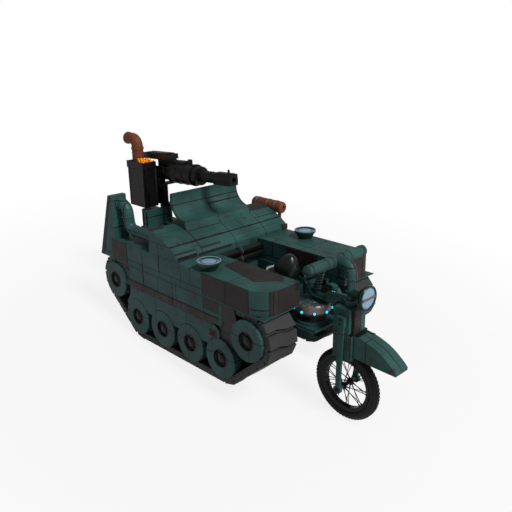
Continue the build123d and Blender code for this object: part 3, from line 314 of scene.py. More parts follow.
def lathe(profile, place=(0, 0, 0), axis=(0, 0, 1), steps=32, ring=False):
    """Turns (radius, height) points round an axis; a ring's last point joins its first."""
    angles = [2 * pi * i / steps for i in range(steps)]
    rows = [[(radius * cos(a), radius * sin(a), height) for a in (angles if radius else angles[:1])]
            for radius, height in profile]
    bm = skin(rows, ring)
    facing = Vector(axis).to_track_quat("Z", "Y").to_matrix().to_4x4()
    bm.transform(Matrix.Translation(place) @ facing)
    return to_mesh(bm)


def sleeve(place, axis, inner, outer, length, steps=32):
    """A ring with its edges broken, centred at a place."""
    half = length / 2
    section = [(inner, -half), (outer - 2, -half), (outer, -half + 2), (outer, half - 2), (outer - 2, half),
               (inner, half)]
    return lathe(section, place, axis, steps, ring=True)


# %% Copies and paths
ROUND_Y = Matrix.Rotation(pi / 2, 4, "X")      # lays what is round about Z across the machine


def join(*meshes):
    """One mesh from several."""
    bm = bmesh.new()
    for mesh in meshes:
        bm.from_mesh(mesh)
    joined = bpy.data.meshes.new("joined")
    bm.to_mesh(joined)
    bm.free()
    return joined


def copies(mesh, matrices):
    """The same shape at several places."""
    placed = []
    for matrix in matrices:
        copy = mesh.copy()
        copy.transform(matrix)
        placed.append(copy)
    return join(*placed)


def mirrored(mesh):
    """The shape and its mirror image across the middle plane."""
    bm = bmesh.new()
    bm.from_mesh(mesh)
    bm.transform(Matrix.Diagonal((1, -1, 1, 1)))
    bmesh.ops.reverse_faces(bm, faces=bm.faces)
    other = bpy.data.meshes.new("mirror")
    bm.to_mesh(other)
    bm.free()
    return join(mesh, other)


def arc_path(points, steps=8):
    """A smooth line through points."""
    line = []
    stops = [Vector(point) for point in (points[0], *points, points[-1])]
    for a, b, c, d in zip(stops, stops[1:], stops[2:], stops[3:]):
        for i in range(steps):
            t = i / steps
            line.append(tuple(0.5 * ((2 * b) + (c - a) * t + (2 * a - 5 * b + 4 * c - d) * t * t
                                     + (3 * b - a - 3 * c + d) * t ** 3)))
    line.append(tuple(points[-1]))
    return line


# %% Parking a piece on its body
def show(name, mesh, body, slot, finish=None, replaced=(), crease=35):
    """Parks a mesh made level, gives it its finish, hangs it on its body and hides the parts it replaces."""
    mesh.transform(PARK_MM)
    mesh.materials.clear()
    mesh.materials.append(finishes[finish or slot])
    mesh.shade_smooth()
    mesh.set_sharp_from_angle(angle=radians(crease))
    piece = bpy.data.objects.new(name, mesh)
    scene.collection.objects.link(piece)
    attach(piece, body)
    if replaced:
        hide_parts(*replaced)
    print(name, len(mesh.polygons), "faces")
    return piece


# %% [markdown]
# ## Geometry trees
# Bolts, pins, spokes, fins and cartridges repeat. A geometry tree places one shape many times: round an
# axis, along a step, in rows on a path, or as rings on a hose. Each tree has named inputs for its sizes,
# and ends by making the copies real, because an export drops instances.

# %% Helpers for geometry trees
SOCKETS = {float: "NodeSocketFloat", int: "NodeSocketInt", tuple: "NodeSocketVector"}
NO_PATH = [(0, 0, 0), (1, 0, 0)]      # carries a tree that makes its own curves or grid


def new_tree(name, **inputs):
    """An empty tree with a named input for each size, and the sockets of its input node."""
    tree = bpy.data.node_groups.new(name, "GeometryNodeTree")
    tree.interface.new_socket("Geometry", in_out="INPUT", socket_type="NodeSocketGeometry")
    for label, value in inputs.items():
        socket = tree.interface.new_socket(label, in_out="INPUT", socket_type=SOCKETS[type(value)])
        socket.default_value = value
    tree.interface.new_socket("Finish", in_out="INPUT", socket_type="NodeSocketMaterial")
    tree.interface.new_socket("Geometry", in_out="OUTPUT", socket_type="NodeSocketGeometry")
    return tree, tree.nodes.new("NodeGroupInput").outputs


def close_tree(tree, inputs, geometry):
    """Makes the copies real and gives them their finish."""
    real = step(tree, "GeometryNodeRealizeInstances", {"Geometry": geometry})
    painted = step(tree, "GeometryNodeSetMaterial", {"Geometry": real[0], "Material": inputs["Finish"]})
    step(tree, "NodeGroupOutput", {"Geometry": painted[0]})


def grow(tree, carrier, **values):
    """Runs a tree on a carrier mesh and returns a plain mesh."""
    holder = bpy.data.objects.new("carrier", carrier)
    scene.collection.objects.link(holder)
    modifier = holder.modifiers.new("grow", "NODES")
    modifier.node_group = tree
    for item in tree.interface.items_tree:
        if item.name in values:
            modifier[item.identifier] = values[item.name]
    evaluated = holder.evaluated_get(bpy.context.evaluated_depsgraph_get())
    mesh = bpy.data.meshes.new_from_object(evaluated)
    holder.modifiers.remove(modifier)
    bpy.data.objects.remove(holder)
    return mesh


def path_mesh(*paths, closed=False):
    """Edges along each path of points, as a carrier."""
    verts, edges = [], []
    for path in paths:
        first = len(verts)
        verts.extend(path)
        edges.extend((first + i, first + i + 1) for i in range(len(path) - 1))
        if closed:
            edges.append((len(verts) - 1, first))
    mesh = bpy.data.meshes.new("path")
    mesh.from_pydata(verts, edges, [])
    return mesh


# %% Tree: copies round the Z axis
around_tree, given = new_tree("around_axis", Count=6, Start=0.0)
number = step(around_tree, "GeometryNodeInputIndex")[0]
turned_by = math_node(around_tree, "ADD", number, given["Start"])
share = math_node(around_tree, "DIVIDE", turned_by, given["Count"])
spin = step(around_tree, "ShaderNodeCombineXYZ", {"Z": math_node(around_tree, "MULTIPLY", share, 2 * pi)})
spots = step(around_tree, "GeometryNodePoints", {"Count": given["Count"]})
ring_copies = step(around_tree, "GeometryNodeInstanceOnPoints",
                   {"Points": spots[0], "Instance": given["Geometry"], "Rotation": spin[0]})
close_tree(around_tree, given, ring_copies[0])


def around(mesh, count, start=0.0):
    """So many copies round Z, the first one turned by a share of their spacing."""
    return grow(around_tree, mesh, Count=count, Start=start)


# %% Tree: copies along a straight step
along_tree, given = new_tree("along_step", Count=4, Step=(1.0, 0.0, 0.0))
number = step(along_tree, "GeometryNodeInputIndex")[0]
stride = step(along_tree, "ShaderNodeVectorMath", {0: given["Step"], "Scale": number}, operation="SCALE")
spots = step(along_tree, "GeometryNodePoints", {"Count": given["Count"], "Position": stride[0]})
row_copies = step(along_tree, "GeometryNodeInstanceOnPoints",
                  {"Points": spots[0], "Instance": given["Geometry"]})
close_tree(along_tree, given, row_copies[0])


def along(mesh, count, stride):
    """So many copies, each one stride further."""
    return grow(along_tree, mesh, Count=count, Step=stride)


# %% Tree: rivets in rows on a path
rivet_tree, given = new_tree("rivet_rows", Spacing=60.0, Radius=5.0, Height=3.0, Facing=(0.0, 0.0, 1.0))
row_curve = step(rivet_tree, "GeometryNodeMeshToCurve", {"Mesh": given["Geometry"]})
row_spots = step(rivet_tree, "GeometryNodeCurveToPoints", {"Curve": row_curve[0], "Length": given["Spacing"]},
                 mode="LENGTH")
head_top = math_node(rivet_tree, "MULTIPLY", given["Radius"], 0.7)
head = step(rivet_tree, "GeometryNodeMeshCone", {"Vertices": 8, "Radius Top": head_top,
                                                "Radius Bottom": given["Radius"], "Depth": given["Height"]})
aim = step(rivet_tree, "FunctionNodeAlignRotationToVector", {"Vector": given["Facing"]}, axis="Z")
row_heads = step(rivet_tree, "GeometryNodeInstanceOnPoints",
                 {"Points": row_spots[0], "Instance": head[0], "Rotation": aim[0]})
close_tree(rivet_tree, given, row_heads[0])


def rivets(paths, facing, spacing=60.0, radius=5.0, height=3.0, closed=False):
    """Flat heads at even steps on each path."""
    return grow(rivet_tree, path_mesh(*paths, closed=closed), Spacing=spacing, Radius=radius, Height=height,
                Facing=facing)


# %% Tree: a hose with raised rings
hose_tree, given = new_tree("ringed_hose", Radius=10.0, Spacing=20.0, Ring=12.0, Width=8.0)
hose_curve = step(hose_tree, "GeometryNodeMeshToCurve", {"Mesh": given["Geometry"]})
hose_section = step(hose_tree, "GeometryNodeCurvePrimitiveCircle",
                    {"Resolution": 12, "Radius": given["Radius"]})
hose_skin = step(hose_tree, "GeometryNodeCurveToMesh",
                 {"Curve": hose_curve[0], "Profile Curve": hose_section[0], "Fill Caps": True})
hose_spots = step(hose_tree, "GeometryNodeCurveToPoints",
                  {"Curve": hose_curve[0], "Length": given["Spacing"]},
                  mode="LENGTH")
hoop = step(hose_tree, "GeometryNodeMeshCylinder",
            {"Vertices": 12, "Radius": given["Ring"], "Depth": given["Width"]})
hoops = step(hose_tree, "GeometryNodeInstanceOnPoints",
             {"Points": hose_spots[0], "Instance": hoop[0], "Rotation": hose_spots["Rotation"]})
hose_parts = step(hose_tree, "GeometryNodeJoinGeometry")
hose_join = hose_tree.nodes[-1]
hose_tree.links.new(hose_skin[0], hose_join.inputs[0])
hose_tree.links.new(hoops[0], hose_join.inputs[0])
close_tree(hose_tree, given, hose_parts[0])


def hose(points, radius, spacing, ring, width):
    """A hose along a smooth line, with a raised ring at every spacing."""
    return grow(hose_tree, path_mesh(arc_path(points)), Radius=radius, Spacing=spacing, Ring=ring,
                Width=width)


print("trees ready")

# %% [markdown]
# ## The front tyre and its spoked wheel
# A tyre is a section swept round the wheel's axle, so its tree sweeps a circle along a circle. Two
# staggered rows of shallow blocks make the tread. The rim is a rolled channel, and the spokes cross from
# both flanges of the hub.

# %% Tyre
TYRE_MIDDLE, TYRE_SECTION, BLOCKS = 280.0, 42.0, 60
tyre_tree, given = new_tree("tyre", Middle=TYRE_MIDDLE, Section=TYRE_SECTION)
tyre_line = step(tyre_tree, "GeometryNodeCurvePrimitiveCircle", {"Resolution": 96, "Radius": given["Middle"]})
tyre_round = step(tyre_tree, "GeometryNodeCurvePrimitiveCircle",
                  {"Resolution": 24, "Radius": given["Section"]})
tyre_skin = step(tyre_tree, "GeometryNodeCurveToMesh",
                 {"Curve": tyre_line[0], "Profile Curve": tyre_round[0]})
close_tree(tyre_tree, given, tyre_skin[0])
WHEEL = Matrix.Translation(HUB_MM) @ ROUND_Y
crown = TYRE_MIDDLE + TYRE_SECTION
treads = [grow(tyre_tree, path_mesh(NO_PATH))]
for low, high, start in ((-19, -3, 0.0), (3, 19, 0.5)):
    block = brick((crown - 5, crown + 2.5), (-12, 12), (low, high), 1.0)
    treads.append(around(block, BLOCKS, start))
tyre = join(*treads)
tyre.transform(WHEEL)
show("tyre_with_tread", tyre, "front_wheel", "tyre_rubber", replaced=["front_tyre"])

# %% Rim, hub and spokes
RIM_BED, FLANGE_R, FLANGE_Y, SPOKE_R = 216.0, 31, 48, 3.4
SPOKE_CROSS, SPOKES = 0.24, 9      # how far round a spoke leans, in radians, and how many lean alike
rim = lathe([(214, -26), (238, -31), (248, -31), (248, -25), (224, -19), (224, 19), (248, 25), (248, 31),
             (238, 31), (214, 26)], steps=72, ring=True)
hub = lathe([(0, -62), (17, -62), (19, -56), (34, -53), (34, -46), (18, -38), (18, 38), (34, 46), (34, 53),
             (19, 56), (17, 62), (0, 62)], steps=32)
wires = []
for side in (-1, 1):
    for cross in (-SPOKE_CROSS, SPOKE_CROSS):
        start = Vector((FLANGE_R, 0, side * FLANGE_Y))
        end = Vector((RIM_BED * cos(cross), RIM_BED * sin(cross), side * FLANGE_Y / 4))
        length = (end - start).length
        wire = lathe([(0, 0), (SPOKE_R, 0), (SPOKE_R, length), (0, length)], start, end - start, 5)
        nipple = lathe([(0, -16), (5, -16), (5, 0), (0, 0)], end, end - start, 6)
        first = (0.25 if side > 0 else 0) + (0.5 if cross > 0 else 0)
        wires.append(around(join(wire, nipple), SPOKES, first))
wheel = join(rim, hub, *wires)
wheel.transform(WHEEL)
show("spoked_wheel", wheel, "front_wheel", "black_metal", replaced=["front_rim"])

# %% [markdown]
# ## Fork trim
# The fork's crown is a welded block with a dark panel on its boss and dark slots in its sides. Black strips
# on its sides paint the shade in the gaps between crown and guard. The legs end in axle nuts.

# %% Fork trim
LEG_OUT, CROWN_SIDE = 144, 110
nuts = []
for side in (-1, 1):
    nuts.append(lathe([(0, 0), (19, 0), (19, 14), (11, 16), (11, 24), (0, 26)],
                      (HUB_MM.x, side * (LEG_OUT - 2), HUB_MM.z), (0, side, 0), 6))
    for z in (628, 668):
        nuts.append(lathe([(0, 0), (9, 0), (9, 6), (0, 7)], (1039, side * LEG_OUT, z), (0, side, 0), 6))
show("fork_nuts", join(*nuts), "fork", "black_metal")
slots = [brick((x, x + 9), (-CROWN_SIDE - 1.5, -CROWN_SIDE + 1), (392, 520), 1.0) for x in (1084, 1104)]
slots.append(brick((948.5, 1132), (-84, 84), (533, 545), 1.0))
show("crown_slots", mirrored(join(*slots)), "fork", "black_metal", finish="dark_panels")
boss_panel = join(brick((1132, 1136), (-73, 14), (545, 750), 1.5),
                  brick((1106, 1134), (-75, -71), (545, 750), 1.5))
show("boss_panel", boss_panel, "fork", "dark_panels")
# black strips on the crown's sides: painted shade in the gaps between crown and guard
gap_shade_strip = brick((1120, 1132), (-CROWN_SIDE - 3, -CROWN_SIDE + 1), (330, 538), 1.0)
show("crown_gap_shade", mirrored(gap_shade_strip), "fork", "black_metal")

# %% [markdown]
# ## Front guard
# The guard is a hood of rolled sheet: flat sides, and a top that curves down to a short lip. Its outline is
# one side view given a thickness, with broken edges that catch the light.

# %% Guard shell and its seams
GUARD_HALF = 84
GUARD_SIDE = ((1137, 338), (1137, 541), (1180, 537), (1225, 529), (1269, 518), (1303, 508), (1336, 497),
              (1370, 483), (1403, 466), (1437, 445), (1471, 420), (1502, 395), (1530, 370), (1549, 350),
              (1548, 323), (1340, 327))
guard = prism(GUARD_SIDE, -GUARD_HALF, GUARD_HALF, 2.5)
show("guard_shell", guard, "fork", "body_paint", replaced=["front_guard"], crease=24)
seams = [brick((1139, 1240), (GUARD_HALF - 30, GUARD_HALF - 8), (535, 538), 1.0),
         brick((1256, 1259), (-GUARD_HALF - 1, GUARD_HALF + 1), (505, 523), 1.0)]
show("guard_seams", join(*seams), "fork", "dark_panels")
guard_face = -GUARD_HALF - 1.5
guard_rows = [[(1150, guard_face, 520), (1320, guard_face, 480)],
              [(1150, guard_face, 350), (1520, guard_face, 337)]]
guard_edge = rivets(guard_rows, (0, -1, 0), 62.0, 5.0, 3.0)
show("guard_rivets", mirrored(guard_edge), "fork", "body_paint")

# %% [markdown]
# ## Handlebar and headlamp
# The handlebar is a fat painted tube with clamp rings and plain end caps. The headlamp has a rolled bezel,
# a bulging glass and a strip across it.

# %% Handlebar trim
BAR_X, BAR_Z, BAR_R, BAR_END = 872, 1098, 47, 360
plug = lathe([(0, -4), (BAR_R - 3, -4), (BAR_R - 3, 5), (BAR_R - 12, 8), (0, 8)],
             (BAR_X, BAR_END - 1, BAR_Z), (0, 1, 0))
show("bar_plugs", mirrored(plug), "fork", "body_paint")
clamp = lathe([(BAR_R - 1, -3), (BAR_R + 2, -3), (BAR_R + 2, 3), (BAR_R - 1, 3)],
              (BAR_X, 0, BAR_Z), (0, 1, 0), ring=True)
clamp_places = [Matrix.Translation((0, y, 0)) for y in (-334, -318, -150, 150, 318, 334)]
show("bar_rings", copies(clamp, clamp_places), "fork", "black_metal", finish="dark_panels")

# %% Headlamp
LAMP_X, LAMP_Z, LAMP_R = 1207, 859, 103
bezel = lathe([(LAMP_R - 14, 0), (LAMP_R + 2, 0), (LAMP_R + 4, 6), (LAMP_R - 2, 12), (LAMP_R - 14, 8)],
              (LAMP_X - 8, 0, LAMP_Z), (1, 0, 0), 64, ring=True)
show("headlamp_bezel", bezel, "fork", "lamp_shell")
# the glass's light blue is a painted reflection of the sky
glass = lathe([(0, -8), (92, -8), (92, -4), (80, 1), (50, 6), (0, 9)], (LAMP_X - 4, 0, LAMP_Z), (1, 0, 0), 64)
show("headlamp_glass", glass, "fork", "lens", replaced=["headlamp_lens"])
strip = brick((LAMP_X + 1, LAMP_X + 5.5), (-84, 84), (LAMP_Z - 12, LAMP_Z + 12), 1.0)
show("headlamp_strip", strip, "fork", "rusty_pipe", finish="lamp_strip")

# %% [markdown]
# ## Deck lamps
# Two dished lamps look straight up from the side boxes. A pale ring holds each glass. The glass's light blue
# is a painted reflection of the sky, and a dark ring inside the glass paints a dark streak in that reflection.

# %% Rings, ribs and glass
DECK_LAMP_Y, DECK_LAMP_Z = 620, DECK + 81


def deck_lamps(name, profile, drop, steps, slot, **looks):
    """One turned piece on both deck lamps, so far below their faces."""
    turned = lathe(profile, (0, -DECK_LAMP_Y, DECK_LAMP_Z - drop), steps=steps, ring=bool(profile[0][0]))
    show(name, mirrored(turned), "chassis", slot, **looks)


deck_lamps("lamp_rings", [(91, -3), (104, -3), (105, 2), (99, 4), (92, 2)], 0, 64, "machined_steel",
           finish="bright_ring")
deck_lamps("lamp_glasses", [(0, -12), (89, -12), (89, -6), (60, -2), (0, 1)], 4, 64, "lens",
           replaced=["lamp_lenses"])
# dark ring painted as a streak in the glass's sky reflection
deck_lamps("lamp_reflection_streaks", [(66, -1), (73, -1), (73, 1.5), (66, 1.5)], 6, 48, "machined_steel",
           finish="reflection_streak")

# %% [markdown]
# ## Armour plates on the side boxes
# The sides are clad in flat plates, some teal and some brown black, with narrow gaps. Real plates give real
# seams and broken edges, which paint alone would not. A short table says where each plate starts and its
# paint.

# %% Side plates
PLATE_GAP, PLATE_OUT = 3, 3.5
PLATE_LOW, PLATE_HIGH = BOX_LOW + 2, DECK - 2
# Columns: where the plate starts along, where it ends, dark or not
SIDE_PLATES = ((-1393, -1125, True), (-1125, -872, False), (-872, -603, False), (-603, -285, False),
               (-285, 11, False), (11, 299, True), (299, 577, True))
# Columns: where the plate starts along, where it ends, low edge, dark or not
SKIRT_PLATES = ((-1110, -872, 606, False), (-872, -640, 606, False), (-640, -364, 606, False),
                (-364, 11, 606, False), (11, 210, 640, True))
SKIRT_HIGH = BOX_LOW - 12
all_plates = [(x0, x1, PLATE_LOW, PLATE_HIGH, is_dark) for x0, x1, is_dark in SIDE_PLATES]
all_plates += [(x0, x1, low, SKIRT_HIGH, is_dark) for x0, x1, low, is_dark in SKIRT_PLATES]
for dark, title, slot_name in ((False, "teal_plates", "body_paint"), (True, "dark_plates", "dark_panels")):
    chosen = [brick((x0 + PLATE_GAP, x1 - PLATE_GAP), (-BOX_SIDE - PLATE_OUT, -BOX_SIDE + 1), (z0, z1), 1.2)
              for x0, x1, z0, z1, is_dark in all_plates if is_dark == dark]
    show(title, mirrored(join(*chosen)), "chassis", slot_name)

# %% Plates cut round the idler and the sprocket
idler_cut = [(-1128, 742), (-1128, 690), (-1222, 690), (-1250, 708), (-1285, 724), (-1330, 735), (-1330, 742)]
idler_plate = prism(idler_cut, -BOX_SIDE - PLATE_OUT, -BOX_SIDE + 1, 1.0)
show("idler_plates", mirrored(idler_plate), "chassis", "dark_panels")
CUT_R = 188


def round_cut(wheel_place, angles):
    """Points of a cut that clears a track wheel, at angles in degrees."""
    x, z = wheel_place
    return [(x + CUT_R * cos(radians(a)), z + CUT_R * sin(radians(a))) for a in angles]


gap_outline = [(206, 747), (396, 747), *round_cut(SPROCKET, range(135, 220, 10)),
               *round_cut(ROAD_WHEELS[-1], range(45, 100, 9)), (206, 431)]
gap_plate = prism(gap_outline, -BOX_SIDE + 1, -BOX_SIDE + 8, 0.8)
show("gap_plates", mirrored(gap_plate), "chassis", "dark_panels", finish="grey_brown")


# %% The round front corner, its dark end, the deck's wedge and the well's panel
def corner_band(from_angle, to_angle):
    """A plate bent round the box's front corner, right side, between two angles in degrees."""
    rows = []
    for i in range(9):
        angle = radians(from_angle + (to_angle - from_angle) * i / 8)
        (x0, y0), (x1, y1) = ((NOSE - CORNER + radius * sin(angle), CORNER - BOX_SIDE - radius * cos(angle))
                              for radius in (CORNER - 1, CORNER + PLATE_OUT))
        rows.append([(x0, y0, PLATE_LOW), (x1, y1, PLATE_LOW), (x1, y1, PLATE_HIGH), (x0, y0, PLATE_HIGH)])
    return to_mesh(skin(rows, capped=True))


show("corner_plates", mirrored(corner_band(1, 58)), "chassis", "body_paint")
nose_plate = brick((NOSE - 1, NOSE + PLATE_OUT), (-545, -302), (PLATE_LOW, PLATE_HIGH), 1.2)
show("dark_noses", mirrored(join(corner_band(60, 89), nose_plate)), "chassis", "dark_panels")
wedge = prism([(24, -470), (10, -300), (560, -300), (640, -372), (486, -556)], DECK - 1, DECK + 3, 0, "z")
show("deck_wedge", wedge, "chassis", "dark_panels")
wall_panel = brick((48, 430), (WELL_SIDE - 3, WELL_SIDE + 1.5), (BOX_LOW + 12, DECK - 6), 1.2)
show("wall_panel", wall_panel, "chassis", "dark_panels")

# %% [markdown]
# ## The hood's bent plates
# The hood's top is part of a drum, so its plates are bent to the same circle. Three points on the top give
# it.

# %% The hood's circle
HOOD_ARC = ((-743, 1182), (-520, 1127), (-349, 1025))


def circle_through(a, b, c):
    """Centre and radius of the circle through three (x, z) points."""
    (ax, az), (bx, bz), (cx, cz) = a, b, c
    ra, rb, rc = (x * x + z * z for x, z in (a, b, c))
    twice = 2 * (ax * (bz - cz) + bx * (cz - az) + cx * (az - bz))
    x = (ra * (bz - cz) + rb * (cz - az) + rc * (az - bz)) / twice
    z = (ra * (cx - bx) + rb * (ax - cx) + rc * (bx - ax)) / twice
    return x, z, hypot(ax - x, az - z)


HOOD_X, HOOD_Z, HOOD_R = circle_through(*HOOD_ARC)
print("hood radius", round(HOOD_R), "mm")


def hood_sheet(x_low, x_high, y_low, y_high, thick):
    """A plate bent to the hood's top."""
    outline = []
    for i in range(9):
        x = x_low + (x_high - x_low) * i / 8
        outline.append((x, HOOD_Z + (HOOD_R ** 2 - (x - HOOD_X) ** 2) ** 0.5 - 1))
    outline += [(x, z + 1 + thick) for x, z in reversed(outline)]
    return prism(outline, y_low, y_high, 0)


# %% Dark patches, raised plates and the lip's band
# Columns: start and end along, start and end across
HOOD_PATCHES = ((-742, -600, 470, 700), (-742, -690, -712, -560), (-360, -346, -712, -480),
                (-360, -346, -420, -180))
HOOD_PLATES = ((-700, -560, -700, -420), (-700, -620, -400, -60), (-600, -440, -400, -130),
               (-540, -380, -700, -560), (-700, -600, -40, 240), (-580, -400, -110, 170),
               (-580, -480, 190, 440), (-460, -370, 190, 520), (-540, -380, -540, -420),
               (-590, -480, 470, 700))
lip = [brick((-332, -328), (-700, -480), (966, 1002), 1.0), brick((-332, -328), (-460, -60), (966, 990), 1.0),
       brick((-352, -326), (640, 722), (966, 1022), 3.0)]
show("hood_lip", join(*lip), "chassis", "dark_panels")
show("hood_patches", join(*[hood_sheet(*row, 3.0) for row in HOOD_PATCHES]), "chassis", "dark_panels")
show("hood_plates", join(*[hood_sheet(*row, 2.2) for row in HOOD_PLATES]), "chassis", "body_paint")

# %% [markdown]
# ## Ledge strips, tail band and cover grille
# A worn strip covers the skirt's sloping ledge in three lengths, a dark band edges the tail plate, and a
# small slatted grille sits in each track cover.

# %% Ledge strips, tail band and cover grille
ledge_section = [(-714, 598), (-731, 549), (-734, 551), (-717, 601)]
strips = [prism(ledge_section, x0, x1, 0, "x") for x0, x1 in ((-1150, -700), (-690, -420), (-410, 205))]
show("ledge_strips", mirrored(join(*strips)), "chassis", "dark_panels", finish="ledge_paint")
band = prism([(-1612, 757), (-1552, 757), (-1352, 1399), (-1389, 1399)], -BOX_SIDE - 3, -BOX_SIDE + 1, 1.2)
show("tail_band", band, "chassis", "dark_panels")
GRILLE_Y = (-736, -729)
frame_bars = [brick((100, 192), GRILLE_Y, (z, z + 8), 1.5) for z in (476, 420)]
frame_bars += [brick((x, x + 8), GRILLE_Y, (428, 476), 1.5) for x in (100, 184)]
slat = brick((116, 121), (GRILLE_Y[0] + 1, GRILLE_Y[1]), (428, 476), 1.0)
frame_bars.append(along(slat, 5, (13.0, 0.0, 0.0)))
show("cover_grille", mirrored(join(*frame_bars)), "chassis", "dark_panels", finish="grille_red")

# %% [markdown]
# ## Rivets
# Rivets stand in rows along every plate edge. One tree places a flat head at even steps on each row.

# %% Rivet rows
TO_RIGHT, UPWARDS = (0.0, -1.0, 0.0), (0.0, 0.0, 1.0)
plate_face = -BOX_SIDE - PLATE_OUT
side_rows = [[(-1380, plate_face, z), (560, plate_face, z)] for z in (BOX_LOW + 14, DECK - 14)]
side_rows.append([(-1090, -731, 533), (130, -731, 533)])
deck_rows = [[(x0, y, DECK), (x1, y, DECK)]
             for x0, x1, y in ((-60, 720, -316), (-300, -140, -700), (150, 570, -700))]
hood_rows = [[(-700, -BOX_SIDE, 990), (-360, -BOX_SIDE, 990)],
             [(-700, -BOX_SIDE, 1150), (-620, -BOX_SIDE, 1130)]]
tail_rows = [[(-1560, -716, 800), (-1376, -716, 1380)], [(-1345, -BOX_SIDE, 1000), (-1345, -BOX_SIDE, 1380)]]
show("side_rivets", mirrored(rivets(side_rows, TO_RIGHT, 47.0, 3.6, 2.4)), "chassis", "body_paint")
show("deck_rivets", mirrored(rivets(deck_rows, UPWARDS, 64.0, 4.5, 3.0)), "chassis", "body_paint")
show("hood_rivets", mirrored(rivets(hood_rows, TO_RIGHT, 48.0, 5.0, 3.5)), "chassis", "body_paint")
show("tail_rivets", rivets(tail_rows, TO_RIGHT, 58.0, 5.0, 3.5), "chassis", "body_paint")

# %% [markdown]
# ## Hub caps and track pins
# A domed black cap closes each track wheel, inside a ring of studs. The pins that join the shoes show as
# small round ends on both edges of the belt.

# %% Hub caps
RECESS = 24
cap = lathe([(0, 0), (76, 0), (76, 7), (66, 9), (62, 5), (46, 5), (42, 14), (30, 21), (14, 24), (0, 25)],
            steps=28)
stud = lathe([(0, 4), (7, 4), (7, 10), (4, 13), (0, 13)], (54, 0, 0), steps=6)
capped = join(cap, around(stud, 8))
cap_places = [Matrix.Translation((x, -WHEEL_FACE + RECESS, z)) @ ROUND_Y
              for x, z in (*ROAD_WHEELS, IDLER, SPROCKET)]
show("domed_caps", mirrored(copies(capped, cap_places)), "chassis", "black_metal", replaced=["hub_caps"])
trim = lathe([(78, 20), (86, 20), (86, 26.5), (78, 26.5)], steps=28, ring=True)
show("hub_rims", mirrored(copies(trim, cap_places)), "chassis", "dark_panels", finish="black_metal")

# %% Track pins
LOOP = [ROAD_WHEELS[0], ROAD_WHEELS[-1], SPROCKET, IDLER]
PIN_RUN, PIN_SPACING = 197.0, 61.5      # distance from the wheels' centres, and half a shoe's length


def loop_path(radius, y):
    """Points round the track's loop at a radius from its wheels."""
    points = []
    for i, (x, z) in enumerate(LOOP):
        before, after = LOOP[i - 1], LOOP[(i + 1) % 4]
        start = atan2(z - before[1], x - before[0])
        swing = (atan2(after[1] - z, after[0] - x) - start) % (2 * pi)
        for part in range(9):
            angle = start + swing * part / 8
            points.append((x + sin(angle) * radius, y, z - cos(angle) * radius))
    return points


pins = [rivets([loop_path(PIN_RUN, y)], (0.0, facing, 0.0), PIN_SPACING, 9.0, 6.0, closed=True)
        for y, facing in ((-TRACK_OUT, -1.0), (-TRACK_IN, 1.0))]
show("track_pins", mirrored(join(*pins)), "chassis", "track_steel")

# %% [markdown]
# ## Well tubes, pipes and the silencer
# Flanges, clamps and bands are turned rings. Each sits on its pipe where two lengths meet. The silencer
# lies along the hood's left end: a rolled drum on two feet, with three bands and a down pipe.

# %% Collars on the tubes and the side pipe
tube_rings = [sleeve((-288, 5, z), (0, 1, 0), 33, 43, 26) for z in (905, 828)]
show("tube_collars", join(*tube_rings), "chassis", "body_paint")
# Columns: place, axis, outer radius, length
PIPE_RINGS = (((-1318, -610, 1310), (1, 0, 0), 66, 22), ((-1225, -607, 1200), (0, 0, 1), 61, 14),
              ((-1130, -590, 1062), (1, 0, 0), 61, 14), ((-760, -590, 1062), (1, 0, 0), 66, 22))
pipe_rings = [sleeve(place, axis, 54, outer, length) for place, axis, outer, length in PIPE_RINGS]
show("pipe_collars", join(*pipe_rings), "chassis", "body_paint")

# %% Silencer and vent stack
DRUM_Y, DRUM_Z, DRUM_R = 773, 1158, 62
drum = lathe([(0, -858), (40, -858), (DRUM_R - 6, -852), (DRUM_R, -840), (DRUM_R, -462), (DRUM_R - 5, -446),
              (DRUM_R - 24, -434), (24, -431), (22, -433), (22, -448), (0, -448)],
             (0, DRUM_Y, DRUM_Z), (1, 0, 0), 40)
DOWN_X = -488
down = hose([(DOWN_X - 2, DRUM_Y, 1105), (DOWN_X, DRUM_Y, 1050), (DOWN_X, DRUM_Y - 2, 960),
             (DOWN_X, DRUM_Y - 16, 915), (DOWN_X, 716, 902)],
            radius=18.0, spacing=90.0, ring=21.0, width=10.0)
feet = [brick((x - 14, x + 14), (BOX_SIDE - 2, DRUM_Y - 20), (DRUM_Z - 72, DRUM_Z - 40), 3)
        for x in (-703, -575)]
show("silencer", join(drum, down, *feet), "chassis", "rusty_pipe", replaced=["far_exhaust"])
muffler_bands = [sleeve((x, DRUM_Y, DRUM_Z), (1, 0, 0), DRUM_R - 1, DRUM_R + 3, 20)
                 for x in (-800, -640, -530)]
show("silencer_bands", join(*muffler_bands), "chassis", "machined_steel", finish="band_grey")
stack_rings = [sleeve((-1612, -182, z), UPWARDS, 56, 62, 9) for z in (1670, 1700, 1730, 1760)]
stack_rings.append(sleeve((-1766, -182, 1864), (1, 0, 0), 50, 63, 14))
show("stack_rings", join(*stack_rings), "gun_mount", "rusty_pipe")

# %% [markdown]
# ## Saddle
# The saddle is a hard glossy leather pad in a black pan with a pale rim. The pan's black paints the shadow
# under the pad, and the rim's pale colour paints a highlight on its rear edge. Rings of an egg shape are
# skinned and smoothed with a subdivision, so the pad keeps the solid's form without its flats.

